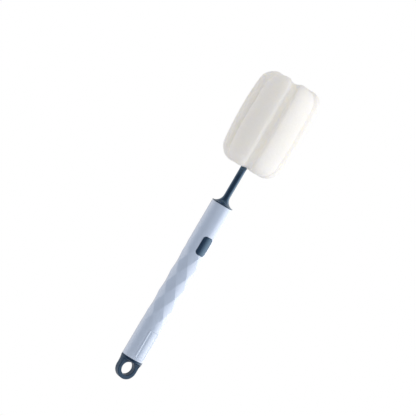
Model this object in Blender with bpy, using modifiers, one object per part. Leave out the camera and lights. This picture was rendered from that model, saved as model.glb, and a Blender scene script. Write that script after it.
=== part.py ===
"""A bottle brush: a lobed sponge head on a stem that plugs into a hollow handle with diamond facets.

The brush stands upright, sponge up, with the lowest point of its hanging loop at the origin and the
handle's axis along +Z. The release button faces -Y. A press on the button bends the latch spring out
of the socket, and the head then pulls off upwards. Sizes are in metres, written through MM.
"""

import itertools
import math

import bmesh
import bpy
from mathutils import Vector

MM = 0.001
GAP = 0.3 * MM  # clearance between pieces that touch or slide
OVERCUT = 1.0 * MM  # how far a cutter runs past the surface that it opens

# Heights of the joint planes, from the loop's lowest point up
CAP_HEIGHT = 18.0 * MM
HANDLE_LENGTH = 139.5 * MM
STEM_SHOWN = 33.5 * MM
SPONGE_LENGTH = 79.0 * MM

HANDLE_FOOT_Z = CAP_HEIGHT
HANDLE_TOP_Z = HANDLE_FOOT_Z + HANDLE_LENGTH
SPONGE_FOOT_Z = HANDLE_TOP_Z + STEM_SHOWN
SPONGE_TOP_Z = SPONGE_FOOT_Z + SPONGE_LENGTH

# Handle tube
HANDLE_TOP_R = 9.0 * MM
HANDLE_FOOT_R = 9.2 * MM
HANDLE_BORE_R = 7.4 * MM
LOWER_BORE_R = 7.0 * MM
HANDLE_EDGE = 0.3 * MM  # bevel of the tube's two rims
FACETS_BELOW_TOP = 37.2 * MM  # from the handle's upper end to the ring where the facets fade in
FACET_ROW = 9.1 * MM  # height of half a diamond
FACET_ROWS = 8
FACETS_ROUND = 6
FACET_TURN = math.radians(4.5)  # the diamonds' points lie this far to the right of the button's middle
FACET_CELLS = 4  # mesh cells along half a diamond

# Release button and its window
BUTTON_BELOW_TOP = 35.3 * MM
BUTTON_LENGTH = 15.8 * MM
BUTTON_WIDTH = 8.7 * MM
BUTTON_CORNER_R = 2.5 * MM
BUTTON_WALL = 1.7 * MM
BUTTON_EDGE = 0.35 * MM
BUTTON_TRAVEL = 1.2 * MM
WINDOW_GAP = 0.35 * MM
TAB_WIDTH = 4.8 * MM
TAB_REACH = 0.9 * MM  # how far a tab reaches under the tube's wall past the window
TAB_THICK = 0.9 * MM
TAB_WEB = 1.8 * MM  # from the plate's end in to the far side of the web that carries a tab
FOOT_WIDTH = 2.4 * MM
FOOT_LENGTH = 2.4 * MM

# Stem: flare, rod, barbed core and shank
ROD_R = 2.65 * MM
FLARE_HEIGHT = 8.0 * MM
FLARE_RIM = 0.8 * MM
CORE_R = 2.2 * MM
CORE_BURIED = 64.0 * MM  # how far the core reaches up into the sponge
BARB_R = 4.0 * MM
BARB_HEIGHT = 3.2 * MM
BARB_PITCH = 9.5 * MM
BARBS = 5
SHANK_R = 3.1 * MM
SHANK_BELOW_NOSE = 5.95 * MM  # from the latch nose's shoulder down to the shank's end
KEY_WIDTH = 1.2 * MM
KEY_RISE = 1.0 * MM
KEY_BELOW_TOP = 6.0 * MM
KEY_LENGTH = 27.0 * MM

# Handle socket
SOCKET_BELOW_SPRING = 11.35 * MM  # from the button spring's middle down to the socket's foot
SOCKET_WALL = 1.0 * MM
SOCKET_FLANGE = 4.0 * MM
SOCKET_FOOT = 3.0 * MM
RIB_THICK = 1.4 * MM
KEY_HOUSING = 3.4 * MM

# Latch spring on the shank
LATCH_WIDTH = 2.8 * MM
LATCH_THICK = 0.5 * MM
LATCH_DEPTH = 0.3 * MM  # from the shank's surface in to the strip's outer face
LATCH_NOSE = 1.4 * MM  # how far the nose stands out of the strip
LATCH_ROOT_BELOW_TOP = 9.8 * MM
LATCH_TAIL = 1.2 * MM  # from the strip's free end down to the shank's end
NOSE_RAMP = 3.4 * MM

# Button spring
SPRING_R = 1.6 * MM
SPRING_WIRE = 0.4 * MM
SPRING_TURNS = 5
SPRING_BELOW_BUTTON = 4.0 * MM  # from the button's middle down to the spring's middle
SPRING_SEAT_Y = 1.0 * MM  # depth of the well's floor, measured from the handle's axis towards the button
BOSS_R = 2.2 * MM
BOSS_HEIGHT = 0.7 * MM
PIN_R = 0.9 * MM
PIN_LENGTH = 1.4 * MM

# Tail cap
LOOP_R = 8.4 * MM  # radius of the loop's rounded end, and half the loop's width
LOOP_HOLE_R = 5.8 * MM
LOOP_HOLE_Z = 9.1 * MM
LOOP_THICK = 5.5 * MM
LOOP_EDGE = 0.8 * MM  # rounding of the loop's rims
COLLAR_HEIGHT = 2.0 * MM
COLLAR_EDGE = 0.2 * MM
COVE_R = 4.5 * MM
PLUG_LENGTH = 13.0 * MM
PLUG_WALL = 1.6 * MM
BEAD_ABOVE_FOOT = 9.0 * MM
BEAD_HEIGHT = 1.6 * MM
BEAD_RISE = 0.5 * MM

# Sponge
SPONGE_R = 26.75 * MM
SPONGE_FOOT_R = 24.3 * MM
SPONGE_HEAD_R = 24.2 * MM
SPONGE_WIDEST = 0.56  # height of the widest ring, as a share of the sponge's length
LOBES = 6
GROOVE_HALF = 3.9 * MM
GROOVE_FLOOR_R = 20.5 * MM
GROOVE_END_R = 5.0 * MM  # where the grooves' floors come in to on the end faces
GROOVE_FLOOR_HALF = 1.9 * MM
GROOVE_CORNER = 2.2 * MM
LOBE_CROWN = 1.0 * MM  # how far a lobe's middle stands out past its shoulders
GROOVE_TURN = math.radians(-28.0)  # from the button's middle to the nearest groove, positive to the right
END_ROUND = 8.5 * MM
END_DIMPLE = 3.6 * MM  # how far the end faces dip at the axis

# Fineness of the round pieces
TUBE_SIDES = 40
ROD_SIDES = 32


def start_collection(name):
    """A new collection under the scene's own."""
    made = bpy.data.collections.new(name)
    bpy.context.scene.collection.children.link(made)
    return made


def finish(name, colour, roughness, metallic=0.0):
    """A Principled material."""
    made = bpy.data.materials.new(name)
    made.use_nodes = True
    shader = made.node_tree.nodes["Principled BSDF"]
    shader.inputs["Base Color"].default_value = (*colour, 1.0)
    shader.inputs["Roughness"].default_value = roughness
    shader.inputs["Metallic"].default_value = metallic
    return made


for old in list(bpy.data.objects):
    bpy.data.objects.remove(old, do_unlink=True)
PARTS = start_collection("bottle_brush")
CUTTERS = start_collection("cutters")


def add_mesh(name, bm, group=PARTS, material=None):
    """A new object from a bmesh, with its faces pointing outwards."""
    bmesh.ops.recalc_face_normals(bm, faces=bm.faces)
    mesh = bpy.data.meshes.new(name)
    bm.to_mesh(mesh)
    bm.free()
    made = bpy.data.objects.new(name, mesh)
    group.objects.link(made)
    if material:
        mesh.materials.append(material)
    if group is CUTTERS:
        made.hide_render = True
        made.display_type = "WIRE"
    return made


def turned(name, profile, sides, group=PARTS, material=None):
    """A profile of (radius, height) points turned round the Z axis. Its outer side runs from top to bottom."""
    bm = bmesh.new()
    points = [bm.verts.new((r, 0, z)) for r, z in profile]
    for one, other in zip(points, points[1:]):
        bm.edges.new((one, other))
    closed = profile[0][0] > 0
    if closed:
        bm.edges.new((points[-1], points[0]))
    mesh = bpy.data.meshes.new(name)
    bm.to_mesh(mesh)
    bm.free()
    made = bpy.data.objects.new(name, mesh)
    group.objects.link(made)
    if material:
        mesh.materials.append(material)
    screw = made.modifiers.new("turn", "SCREW")
    screw.steps = screw.render_steps = sides
    screw.use_merge_vertices = True
    screw.merge_threshold = 0.00001
    if group is CUTTERS:
        made.hide_render = True
        made.display_type = "WIRE"
    return made


def block(name, low, high, group=CUTTERS, corner=0.0, steps=4):
    """A box from its two corners. With corner set, its four edges along Y are rounded."""
    low, high = Vector(low), Vector(high)
    bm = bmesh.new()
    bmesh.ops.create_cube(bm, size=1.0)
    for v in bm.verts:
        v.co = (low + high) / 2 + Vector(a * b for a, b in zip(v.co, high - low))
    if corner:
        upright = [e for e in bm.edges if abs((e.verts[0].co - e.verts[1].co).normalized().y) > 0.9]
        bmesh.ops.bevel(bm, geom=upright, offset=corner, segments=steps, profile=0.5, affect="EDGES")
    return add_mesh(name, bm, group)


def drum(name, radius, start, end, sides, group=CUTTERS):
    """A cylinder between two points."""
    start, end = Vector(start), Vector(end)
    bm = bmesh.new()
    bmesh.ops.create_cone(
        bm, cap_ends=True, segments=sides, radius1=radius, radius2=radius, depth=(end - start).length
    )
    turn = Vector((0, 0, 1)).rotation_difference(end - start)
    for v in bm.verts:
        v.co = turn @ v.co + (start + end) / 2
    return add_mesh(name, bm, group)


def combine(piece, other, operation):
    """A Boolean modifier on piece."""
    made = piece.modifiers.new(other.name, "BOOLEAN")
    made.operation = operation
    made.object = other


PALE = finish("handle_blue", (0.52, 0.64, 0.80), 0.38)
NAVY = finish("navy_plastic", (0.030, 0.055, 0.105), 0.36)
INNER = finish("inner_plastic", (0.62, 0.66, 0.70), 0.5)
STEEL = finish("spring_steel", (0.62, 0.63, 0.65), 0.28, 1.0)
FOAM = finish("white_foam", (0.90, 0.89, 0.86), 0.95)

# Joint planes: half the clearance lies on either side of each
FOOT_SEAM = HANDLE_FOOT_Z + GAP / 2
TOP_SEAM = HANDLE_TOP_Z - GAP / 2
FLARE_SEAM = HANDLE_TOP_Z + GAP / 2
BUTTON_Z = HANDLE_TOP_Z - BUTTON_BELOW_TOP
SPRING_Z = BUTTON_Z - SPRING_BELOW_BUTTON
SHOULDER_Z = SPRING_Z - SOCKET_BELOW_SPRING - GAP


def handle_radius(z):
    """The tube's outer radius where it is plain: it widens a little towards its foot."""
    share = (HANDLE_TOP_Z - z) / HANDLE_LENGTH
    return HANDLE_TOP_R + (HANDLE_FOOT_R - HANDLE_TOP_R) * share


def ring_point(radius, turn, z):
    """A point at an angle from the button's middle, positive to the right of someone who faces it."""
    return Vector((radius * math.sin(turn), -radius * math.cos(turn), z))


def facet_point(across, down):
    """A point of the facetted zone. across counts half diamonds round the tube, and down counts rows.

    The diamonds' points lie on the tube's own radius, and the skin between four of them is the plain
    ruled patch, so the edges are straight and crisp and the faces are softly hollow. The first and the
    last row fade into the round tube.
    """
    half_turn = math.pi / FACETS_ROUND
    top_z = HANDLE_TOP_Z - FACETS_BELOW_TOP

    def corner(u, v):
        z = top_z - (u + v) * FACET_ROW
        return ring_point(handle_radius(z), FACET_TURN + (u - v + 1) * half_turn, z)

    u, v = (across + down) / 2, (down - across) / 2
    u0, v0 = math.floor(u + 1e-9), math.floor(v + 1e-9)
    a, b = u - u0, v - v0
    patch = (
        corner(u0, v0) * (1 - a) * (1 - b)
        + corner(u0 + 1, v0) * a * (1 - b)
        + corner(u0, v0 + 1) * (1 - a) * b
        + corner(u0 + 1, v0 + 1) * a * b
    )
    z = top_z - down * FACET_ROW
    plain = ring_point(handle_radius(z), FACET_TURN + (across + 1) * half_turn, z)
    depth = max(0.0, min(1.0, down, FACET_ROWS - down))
    return plain.lerp(patch, depth)


def make_handle_tube():
    """The hollow handle: facetted skin, stepped bore, the button's window and the cap's snap groove."""
    around = 2 * FACETS_ROUND * FACET_CELLS
    rows = FACET_ROWS * FACET_CELLS
    bm = bmesh.new()

    def plain_ring(radius, z):
        step = math.pi / FACETS_ROUND / FACET_CELLS
        return [
            bm.verts.new(ring_point(radius, FACET_TURN + math.pi / FACETS_ROUND + k * step, z))
            for k in range(around)
        ]

    rings = [
        plain_ring(handle_radius(TOP_SEAM) - HANDLE_EDGE, TOP_SEAM),
        plain_ring(handle_radius(TOP_SEAM), TOP_SEAM - HANDLE_EDGE),
    ]
    first_row = len(rings)
    for j in range(rows + 1):
        rings.append([bm.verts.new(facet_point(k / FACET_CELLS, j / FACET_CELLS)) for k in range(around)])
    rings.append(plain_ring(handle_radius(FOOT_SEAM), FOOT_SEAM + HANDLE_EDGE))
    rings.append(plain_ring(handle_radius(FOOT_SEAM) - HANDLE_EDGE, FOOT_SEAM))
    for j, (upper, lower) in enumerate(zip(rings, rings[1:])):
        row = j - first_row
        for k in range(around):
            n = (k + 1) % around
            a, b, c, d = upper[k], upper[n], lower[n], lower[k]
            if not 0 <= row < rows:
                bm.faces.new((a, d, c, b))
            elif (k + row + 1) % (2 * FACET_CELLS) == 0:
                # a diamond's edge runs from b down to d
                bm.faces.new((a, d, b))
                bm.faces.new((b, d, c))
            else:
                bm.faces.new((a, d, c))
                bm.faces.new((a, c, b))
    bm.faces.new(rings[0])
    bm.faces.new(list(reversed(rings[-1])))
    tube = add_mesh("handle_tube", bm, material=PALE)

    groove_low = FOOT_SEAM + BEAD_ABOVE_FOOT - BEAD_HEIGHT / 2 - GAP
    groove_high = FOOT_SEAM + BEAD_ABOVE_FOOT + BEAD_HEIGHT / 2 + GAP
    bore = turned(
        "handle_bore",
        [
            (0, TOP_SEAM + OVERCUT),
            (HANDLE_BORE_R, TOP_SEAM + OVERCUT),
            (HANDLE_BORE_R, SHOULDER_Z),
            (LOWER_BORE_R, SHOULDER_Z),
            (LOWER_BORE_R, groove_high),
            (LOWER_BORE_R + BEAD_RISE, groove_high - GAP),
            (LOWER_BORE_R + BEAD_RISE, groove_low + GAP),
            (LOWER_BORE_R, groove_low),
            (LOWER_BORE_R, FOOT_SEAM - OVERCUT),
            (0, FOOT_SEAM - OVERCUT),
        ],
        TUBE_SIDES,
        CUTTERS,
    )
    combine(tube, bore, "DIFFERENCE")
    half_x = BUTTON_WIDTH / 2 + WINDOW_GAP
    half_z = BUTTON_LENGTH / 2 + WINDOW_GAP
    window = block(
        "button_window",
        (-half_x, -HANDLE_TOP_R - OVERCUT, BUTTON_Z - half_z),
        (half_x, 0, BUTTON_Z + half_z),
        corner=BUTTON_CORNER_R + WINDOW_GAP,
        steps=6,
    )
    combine(tube, window, "DIFFERENCE")
    return tube


def button_outline(inset, radius):
    """Pairs of upper and lower points round the button's edge, from its left side to its right side."""
    corner = BUTTON_CORNER_R - inset
    mid_x = BUTTON_WIDTH / 2 - BUTTON_CORNER_R
    mid_z = BUTTON_LENGTH / 2 - BUTTON_CORNER_R
    steps = 6
    bends = [math.radians(90) * k / steps for k in range(steps + 1)]
    left = [(-mid_x - corner * math.cos(t), mid_z + corner * math.sin(t)) for t in bends]
    flat = [(mid_x * k / 2, mid_z + corner) for k in (-1, 0, 1)]
    stations = left + flat + [(-x, z) for x, z in reversed(left)]
    pairs = []
    for x, z in stations:
        y = -math.sqrt(radius**2 - x**2)
        pairs.append((Vector((x, y, BUTTON_Z + z)), Vector((x, y, BUTTON_Z - z))))
    return pairs


def make_release_button():
    """The button: a curved plate in the window, two tabs that hold it in, a foot and a spring seat."""
    inner_r = HANDLE_TOP_R - BUTTON_WALL
    half_z = BUTTON_LENGTH / 2
    bm = bmesh.new()
    layers = [
        [[bm.verts.new(spot) for spot in pair] for pair in button_outline(inset, radius)]
        for inset, radius in (
            (BUTTON_EDGE, HANDLE_TOP_R),
            (0.3 * BUTTON_EDGE, HANDLE_TOP_R - 0.3 * BUTTON_EDGE),
            (0.0, HANDLE_TOP_R - BUTTON_EDGE),
            (0.0, inner_r),
        )
    ]
    last = len(layers[0]) - 1
    for k in range(last):
        for layer in (layers[0], layers[-1]):
            bm.faces.new((layer[k][0], layer[k + 1][0], layer[k + 1][1], layer[k][1]))
        for one, other in zip(layers, layers[1:]):
            for side in (0, 1):
                bm.faces.new((one[k][side], one[k + 1][side], other[k + 1][side], other[k][side]))
    for one, other in zip(layers, layers[1:]):
        for k in (0, last):
            bm.faces.new((one[k][0], one[k][1], other[k][1], other[k][0]))
    bmesh.ops.remove_doubles(bm, verts=bm.verts, dist=0.000001)
    button = add_mesh("release_button", bm, material=NAVY)

    # the tabs hang from short webs and lie just under the tube's wall
    half_tab = TAB_WIDTH / 2
    wall_y = math.sqrt(HANDLE_BORE_R**2 - half_tab**2)
    tab_high = wall_y - GAP
    tab_low = tab_high - TAB_THICK
    web = BUTTON_WALL
    for side, name in ((1, "upper_tab"), (-1, "lower_tab")):
        inner_z = BUTTON_Z + side * (half_z - TAB_WEB)
        outer_z = BUTTON_Z + side * (half_z - BUTTON_EDGE)
        reach_z = BUTTON_Z + side * (half_z + WINDOW_GAP + TAB_REACH)
        stalk = block(
            f"{name}_web",
            (-half_tab, -inner_r - web / 2, min(inner_z, outer_z)),
            (half_tab, -tab_low, max(inner_z, outer_z)),
        )
        combine(button, stalk, "UNION")
        lip = block(
            name,
            (-half_tab, -tab_high, min(inner_z, reach_z)),
            (half_tab, -tab_low, max(inner_z, reach_z)),
        )
        combine(button, lip, "UNION")
    foot_y = nose_crest_y() - GAP
    foot = block(
        "button_foot",
        (-FOOT_WIDTH / 2, -inner_r - web / 2, nose_z() - FOOT_LENGTH),
        (FOOT_WIDTH / 2, foot_y, nose_z()),
    )
    combine(button, foot, "UNION")
    boss = drum(
        "spring_boss",
        BOSS_R,
        (0, -inner_r - web / 2, SPRING_Z),
        (0, -inner_r + BOSS_HEIGHT, SPRING_Z),
        24,
    )
    combine(button, boss, "UNION")
    pin = drum(
        "spring_pin",
        PIN_R,
        (0, -inner_r, SPRING_Z),
        (0, -inner_r + BOSS_HEIGHT + PIN_LENGTH, SPRING_Z),
        16,
    )
    combine(button, pin, "UNION")
    return button


def nose_z():
    """Height of the latch nose's shoulder, which bears on the socket window's upper edge."""
    return BUTTON_Z + BUTTON_LENGTH / 2 - BUTTON_CORNER_R - GAP


def strip_y():
    """The latch strip's outer face, as a Y coordinate."""
    return -(SHANK_R - LATCH_DEPTH)


def nose_crest_y():
    """The latch nose's crest, as a Y coordinate."""
    return strip_y() - LATCH_NOSE


def shank_end_z():
    return nose_z() - SHANK_BELOW_NOSE


def make_brush_stem():
    """Stem of one moulding: barbed core, rod, flare with its rim, and the keyed shank."""
    core_top = SPONGE_FOOT_Z + CORE_BURIED
    profile = [(0, core_top), (0.55 * CORE_R, core_top - 0.15 * CORE_R), (CORE_R, core_top - CORE_R)]
    for n in range(BARBS):
        tip = core_top - 2 * CORE_R - n * BARB_PITCH
        profile += [
            (CORE_R, tip),
            (BARB_R, tip - BARB_HEIGHT),
            (BARB_R, tip - BARB_HEIGHT - GAP),
            (CORE_R, tip - BARB_HEIGHT - 2 * GAP),
        ]
    profile += [(CORE_R, SPONGE_FOOT_Z + 3 * GAP + ROD_R), (ROD_R, SPONGE_FOOT_Z + ROD_R)]
    steps = 10
    for k in range(steps + 1):
        turn = math.radians(90) * k / steps
        r = HANDLE_TOP_R - (HANDLE_TOP_R - ROD_R) * math.cos(turn)
        z = HANDLE_TOP_Z + FLARE_HEIGHT - (FLARE_HEIGHT - FLARE_RIM) * math.sin(turn)
        profile.append((r, z))
    profile += [
        (HANDLE_TOP_R, FLARE_SEAM),
        (SHANK_R, FLARE_SEAM),
        (SHANK_R, shank_end_z() + GAP),
        (SHANK_R - GAP, shank_end_z()),
        (0, shank_end_z()),
    ]
    stem = turned("brush_stem", profile, ROD_SIDES, material=NAVY)

    key = block(
        "shank_key",
        (-KEY_WIDTH / 2, SHANK_R - KEY_RISE, FLARE_SEAM - KEY_BELOW_TOP - KEY_LENGTH),
        (KEY_WIDTH / 2, SHANK_R + KEY_RISE, FLARE_SEAM - KEY_BELOW_TOP),
    )
    combine(stem, key, "UNION")
    channel_y = strip_y() + LATCH_THICK + LATCH_NOSE
    half = LATCH_WIDTH / 2 + GAP
    root_z = FLARE_SEAM - LATCH_ROOT_BELOW_TOP
    channel = block(
        "latch_channel",
        (-half, -SHANK_R - OVERCUT, shank_end_z() - OVERCUT),
        (half, channel_y, root_z + LATCH_THICK / 2 + GAP),
    )
    combine(stem, channel, "DIFFERENCE")
    slot = block(
        "latch_root_slot",
        (-half, channel_y - GAP, root_z - LATCH_THICK / 2 - GAP),
        (half, LATCH_THICK + GAP, root_z + LATCH_THICK / 2 + GAP),
    )
    combine(stem, slot, "DIFFERENCE")
    return stem


def make_latch_spring():
    """A bent steel strip: its root goes into the shank, and its nose catches in the socket's window."""
    root_z = FLARE_SEAM - LATCH_ROOT_BELOW_TOP
    outer, crest = strip_y(), nose_crest_y()
    tail_z = shank_end_z() + LATCH_TAIL
    path = [
        (LATCH_THICK, root_z + LATCH_THICK / 2),
        (outer, root_z + LATCH_THICK / 2),
        (outer, nose_z()),
        (crest, nose_z()),
        (crest, nose_z() - 2 * LATCH_THICK),
        (outer, nose_z() - NOSE_RAMP),
        (outer + LATCH_THICK, tail_z),
    ]
    bm = bmesh.new()
    sides = [
        [bm.verts.new((x, y, z)) for y, z in path] for x in (-LATCH_WIDTH / 2, LATCH_WIDTH / 2)
    ]
    for k in range(len(path) - 1):
        bm.faces.new((sides[0][k], sides[1][k], sides[1][k + 1], sides[0][k + 1]))
    mesh = bpy.data.meshes.new("latch_spring")
    bm.to_mesh(mesh)
    bm.free()
    latch = bpy.data.objects.new("latch_spring", mesh)
    PARTS.objects.link(latch)
    mesh.materials.append(STEEL)
    thickness = latch.modifiers.new("strip", "SOLIDIFY")
    thickness.thickness = LATCH_THICK
    thickness.offset = 1.0
    thickness.use_even_offset = True
    return latch


def make_handle_socket():
    """The sleeve in the handle's top: bore for the shank, keyway, ribs, latch window and spring well."""
    top = TOP_SEAM - GAP
    foot = SHOULDER_Z + GAP
    bore_r = SHANK_R + GAP
    wall_r = bore_r + SOCKET_WALL
    outer_r = HANDLE_BORE_R - GAP
    bore_end = shank_end_z() - GAP
    socket = turned(
        "handle_socket",
        [
            (outer_r, top),
            (outer_r, top - SOCKET_FLANGE),
            (wall_r, top - SOCKET_FLANGE),
            (wall_r, foot + SOCKET_FOOT),
            (outer_r, foot + SOCKET_FOOT),
            (outer_r, foot),
            (0, foot),
            (0, bore_end),
            (bore_r, bore_end),
            (bore_r, top),
        ],
        ROD_SIDES,
        material=INNER,
    )
    overlap = SOCKET_WALL / 2
    for name, low, high in (
        ("left_rib", (-outer_r + GAP, -RIB_THICK / 2), (-wall_r + overlap, RIB_THICK / 2)),
        ("right_rib", (wall_r - overlap, -RIB_THICK / 2), (outer_r - GAP, RIB_THICK / 2)),
        ("key_housing", (-KEY_HOUSING / 2, wall_r - overlap), (KEY_HOUSING / 2, outer_r - 2 * GAP)),
    ):
        rib = block(
            name,
            (*low, foot + SOCKET_FOOT - overlap),
            (*high, top - SOCKET_FLANGE + overlap),
        )
        combine(socket, rib, "UNION")
    half_key = KEY_WIDTH / 2 + GAP
    keyway = block(
        "keyway",
        (-half_key, 0, FLARE_SEAM - KEY_BELOW_TOP - KEY_LENGTH - GAP),
        (half_key, SHANK_R + KEY_RISE + GAP, top + OVERCUT),
    )
    combine(socket, keyway, "DIFFERENCE")
    half_window = max(LATCH_WIDTH, FOOT_WIDTH) / 2 + GAP
    latch_window = block(
        "latch_window",
        (-half_window, -wall_r - OVERCUT, nose_z() - NOSE_RAMP - GAP),
        (half_window, -bore_r / 2, nose_z() + LATCH_THICK / 2 + GAP),
    )
    combine(socket, latch_window, "DIFFERENCE")
    well = drum(
        "spring_well",
        SPRING_R + SPRING_WIRE / 2 + GAP,
        (0, -SPRING_SEAT_Y, SPRING_Z),
        (0, -outer_r, SPRING_Z),
        24,
    )
    combine(socket, well, "DIFFERENCE")
    return socket


def least_gap(points, diameter, skip):
    """The least distance between a tube's own passes, from its centre line's points."""
    least = min(
        (one - other).length
        for (k, one), (n, other) in itertools.combinations(enumerate(points), 2)
        if n - k >= skip
    )
    return least - diameter


def make_button_spring():
    """A small coil of round wire between the socket's well and the button's seat."""
    curl_points = 10
    seat_y = -SPRING_SEAT_Y - GAP - SPRING_WIRE / 2
    end_y = -(HANDLE_TOP_R - BUTTON_WALL) + BOSS_HEIGHT + GAP + SPRING_WIRE / 2
    count = round(SPRING_TURNS * curl_points)
    points = []
    for k in range(count + 1):
        turn = 2 * math.pi * k / curl_points
        y = seat_y + (end_y - seat_y) * k / count
        points.append(Vector((SPRING_R * math.cos(turn), y, SPRING_Z + SPRING_R * math.sin(turn))))
    gap = least_gap(points, SPRING_WIRE, curl_points - 2)
    print(f"button_spring: least gap between its curls {gap / MM:.2f} mm")
    curve = bpy.data.curves.new("button_spring", "CURVE")
    curve.dimensions = "3D"
    curve.bevel_depth = SPRING_WIRE / 2
    curve.bevel_resolution = 1
    curve.use_fill_caps = True
    wire = curve.splines.new("POLY")
    wire.points.add(len(points) - 1)
    for spot, point in zip(wire.points, points):
        spot.co = (*point, 1.0)
    spring = bpy.data.objects.new("button_spring", curve)
    PARTS.objects.link(spring)
    curve.materials.append(STEEL)
    return spring


def make_loop_plate():
    """The loop's flat plate with its rim rounded, from an outline drawn on the ground and stood up."""
    steps = 22
    turns = [math.radians(-90 + 180 * k / steps) for k in range(steps + 1)]
    outline = [(LOOP_R * math.sin(turn), LOOP_R - LOOP_R * math.cos(turn)) for turn in turns]
    shoulder_z = HANDLE_FOOT_Z - GAP / 2 - COLLAR_EDGE
    outline += [(LOOP_R, shoulder_z), (-LOOP_R, shoulder_z)]
    curve = bpy.data.curves.new("loop_plate", "CURVE")
    curve.dimensions = "2D"
    curve.fill_mode = "BOTH"
    curve.extrude = LOOP_THICK / 2 - LOOP_EDGE
    curve.bevel_depth = LOOP_EDGE
    curve.bevel_resolution = 1
    curve.offset = -LOOP_EDGE
    rim = curve.splines.new("POLY")
    rim.points.add(len(outline) - 1)
    for spot, (x, z) in zip(rim.points, outline):
        spot.co = (x, z, 0.0, 1.0)
    rim.use_cyclic_u = True
    drawn = bpy.data.objects.new("loop_outline", curve)
    CUTTERS.objects.link(drawn)
    drawn.rotation_euler.x = math.radians(90)
    bpy.context.view_layer.update()
    bm = bmesh.new()
    bm.from_mesh(bpy.data.meshes.new_from_object(drawn.evaluated_get(bpy.context.evaluated_depsgraph_get())))
    bmesh.ops.transform(bm, matrix=drawn.matrix_world, verts=bm.verts)
    bmesh.ops.remove_doubles(bm, verts=bm.verts, dist=0.000001)
    bpy.data.objects.remove(drawn)
    return add_mesh("loop_plate", bm, CUTTERS)


def make_tail_cap():
    """The tail cap: a plug with a snap bead, a round collar, two coves and the hanging loop."""
    radius = handle_radius(FOOT_SEAM)
    seam = HANDLE_FOOT_Z - GAP / 2
    plug_r = LOWER_BORE_R - GAP
    bead_low = FOOT_SEAM + BEAD_ABOVE_FOOT - BEAD_HEIGHT / 2
    bead_high = FOOT_SEAM + BEAD_ABOVE_FOOT + BEAD_HEIGHT / 2
    plug_top = seam + PLUG_LENGTH
    cove_top = seam - COLLAR_HEIGHT
    cove_foot = cove_top - COVE_R
    cap = turned(
        "tail_cap",
        [
            (0, seam + PLUG_WALL),
            (plug_r - PLUG_WALL, seam + PLUG_WALL),
            (plug_r - PLUG_WALL, plug_top),
            (plug_r - GAP, plug_top),
            (plug_r, plug_top - GAP),
            (plug_r, bead_high),
            (plug_r + BEAD_RISE, bead_high - GAP),
            (plug_r + BEAD_RISE, bead_low + GAP),
            (plug_r, bead_low),
            (plug_r, seam),
            (radius - COLLAR_EDGE, seam),
            (radius, seam - COLLAR_EDGE),
            (radius, cove_top + COLLAR_EDGE),
            (radius - COLLAR_EDGE, cove_top),
            (LOOP_R + COLLAR_EDGE, cove_top - COVE_R / 3),
            (LOOP_R - COLLAR_EDGE, cove_foot),
            (0, cove_foot),
        ],
        TUBE_SIDES,
        material=NAVY,
    )

    # two coves thin the cap down to the loop's plate
    side = radius + OVERCUT
    steps = 6
    flat = LOOP_THICK / 2 - GAP
    curve = [
        (
            flat + COVE_R - COVE_R * math.cos(turn),
            cove_foot + COVE_R * math.sin(turn),
        )
        for turn in (math.radians(90 * k / steps) for k in range(steps + 1))
    ]
    for side_of, name in ((-1, "front_cove"), (1, "back_cove")):
        bm = bmesh.new()
        section = [(flat, 0), *curve, (side, cove_top), (side, 0)]
        left = [bm.verts.new((-side, side_of * y, z)) for y, z in section]
        right = [bm.verts.new((side, side_of * y, z)) for y, z in section]
        bm.faces.new(left)
        bm.faces.new(list(reversed(right)))
        for k in range(len(section)):
            n = (k + 1) % len(section)
            bm.faces.new((left[n], left[k], right[k], right[n]))
        combine(cap, add_mesh(name, bm, CUTTERS), "DIFFERENCE")
    combine(cap, make_loop_plate(), "UNION")

    # the hole's rims are rounded, so its cutter widens at both faces
    steps = 3
    rim = [
        (
            LOOP_HOLE_R + LOOP_EDGE - LOOP_EDGE * math.cos(turn),
            LOOP_THICK / 2 - LOOP_EDGE + LOOP_EDGE * math.sin(turn),
        )
        for turn in (math.radians(90 * k / steps) for k in range(steps + 1))
    ]
    wide = LOOP_HOLE_R + LOOP_EDGE
    hole = turned(
        "loop_hole",
        [(0, side), (wide, side), *reversed(rim), *((r, -y) for r, y in rim), (wide, -side), (0, -side)],
        36,
        CUTTERS,
    )
    hole.rotation_euler.x = math.radians(90)
    hole.location.z = LOOP_HOLE_Z
    combine(cap, hole, "DIFFERENCE")
    return cap


def lobe_section():
    """One lobe's outline as (angle, radius) from groove to groove, for the sponge's widest ring."""
    half_lobe = math.pi / LOBES
    # the groove's wall runs straight from its floor to its mouth
    mouth = math.asin(GROOVE_HALF / SPONGE_R)
    floor = math.asin(GROOVE_FLOOR_HALF / GROOVE_FLOOR_R)

    def wall(share):
        start = Vector((GROOVE_FLOOR_R * math.sin(floor), GROOVE_FLOOR_R * math.cos(floor)))
        end = Vector((SPONGE_R * math.sin(mouth), SPONGE_R * math.cos(mouth)))
        spot = start.lerp(end, share)
        return math.atan2(spot.x, spot.y), spot.length

    depth = SPONGE_R - GROOVE_FLOOR_R
    shoulder = SPONGE_R - LOBE_CROWN
    points = [(0.0, GROOVE_FLOOR_R)]
    points += [wall(share) for share in (0.45, 1 - 1.3 * GROOVE_CORNER / depth)]
    start_angle, start_r = points[-1]
    end_angle = mouth + 0.8 * GROOVE_CORNER / SPONGE_R
    for k in (1, 2):
        turn = math.radians(90) * k / 2
        angle = start_angle + (end_angle - start_angle) * (1 - math.cos(turn))
        points.append((angle, start_r + (shoulder - start_r) * math.sin(turn)))
    arc = 3
    for k in range(1, arc + 1):
        share = k / arc
        angle = end_angle + (half_lobe - end_angle) * share
        points.append((angle, shoulder + LOBE_CROWN * math.sin(math.radians(90) * share)))
    mirrored = [(2 * half_lobe - angle, r) for angle, r in reversed(points[1:-1])]
    return points + mirrored


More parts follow.
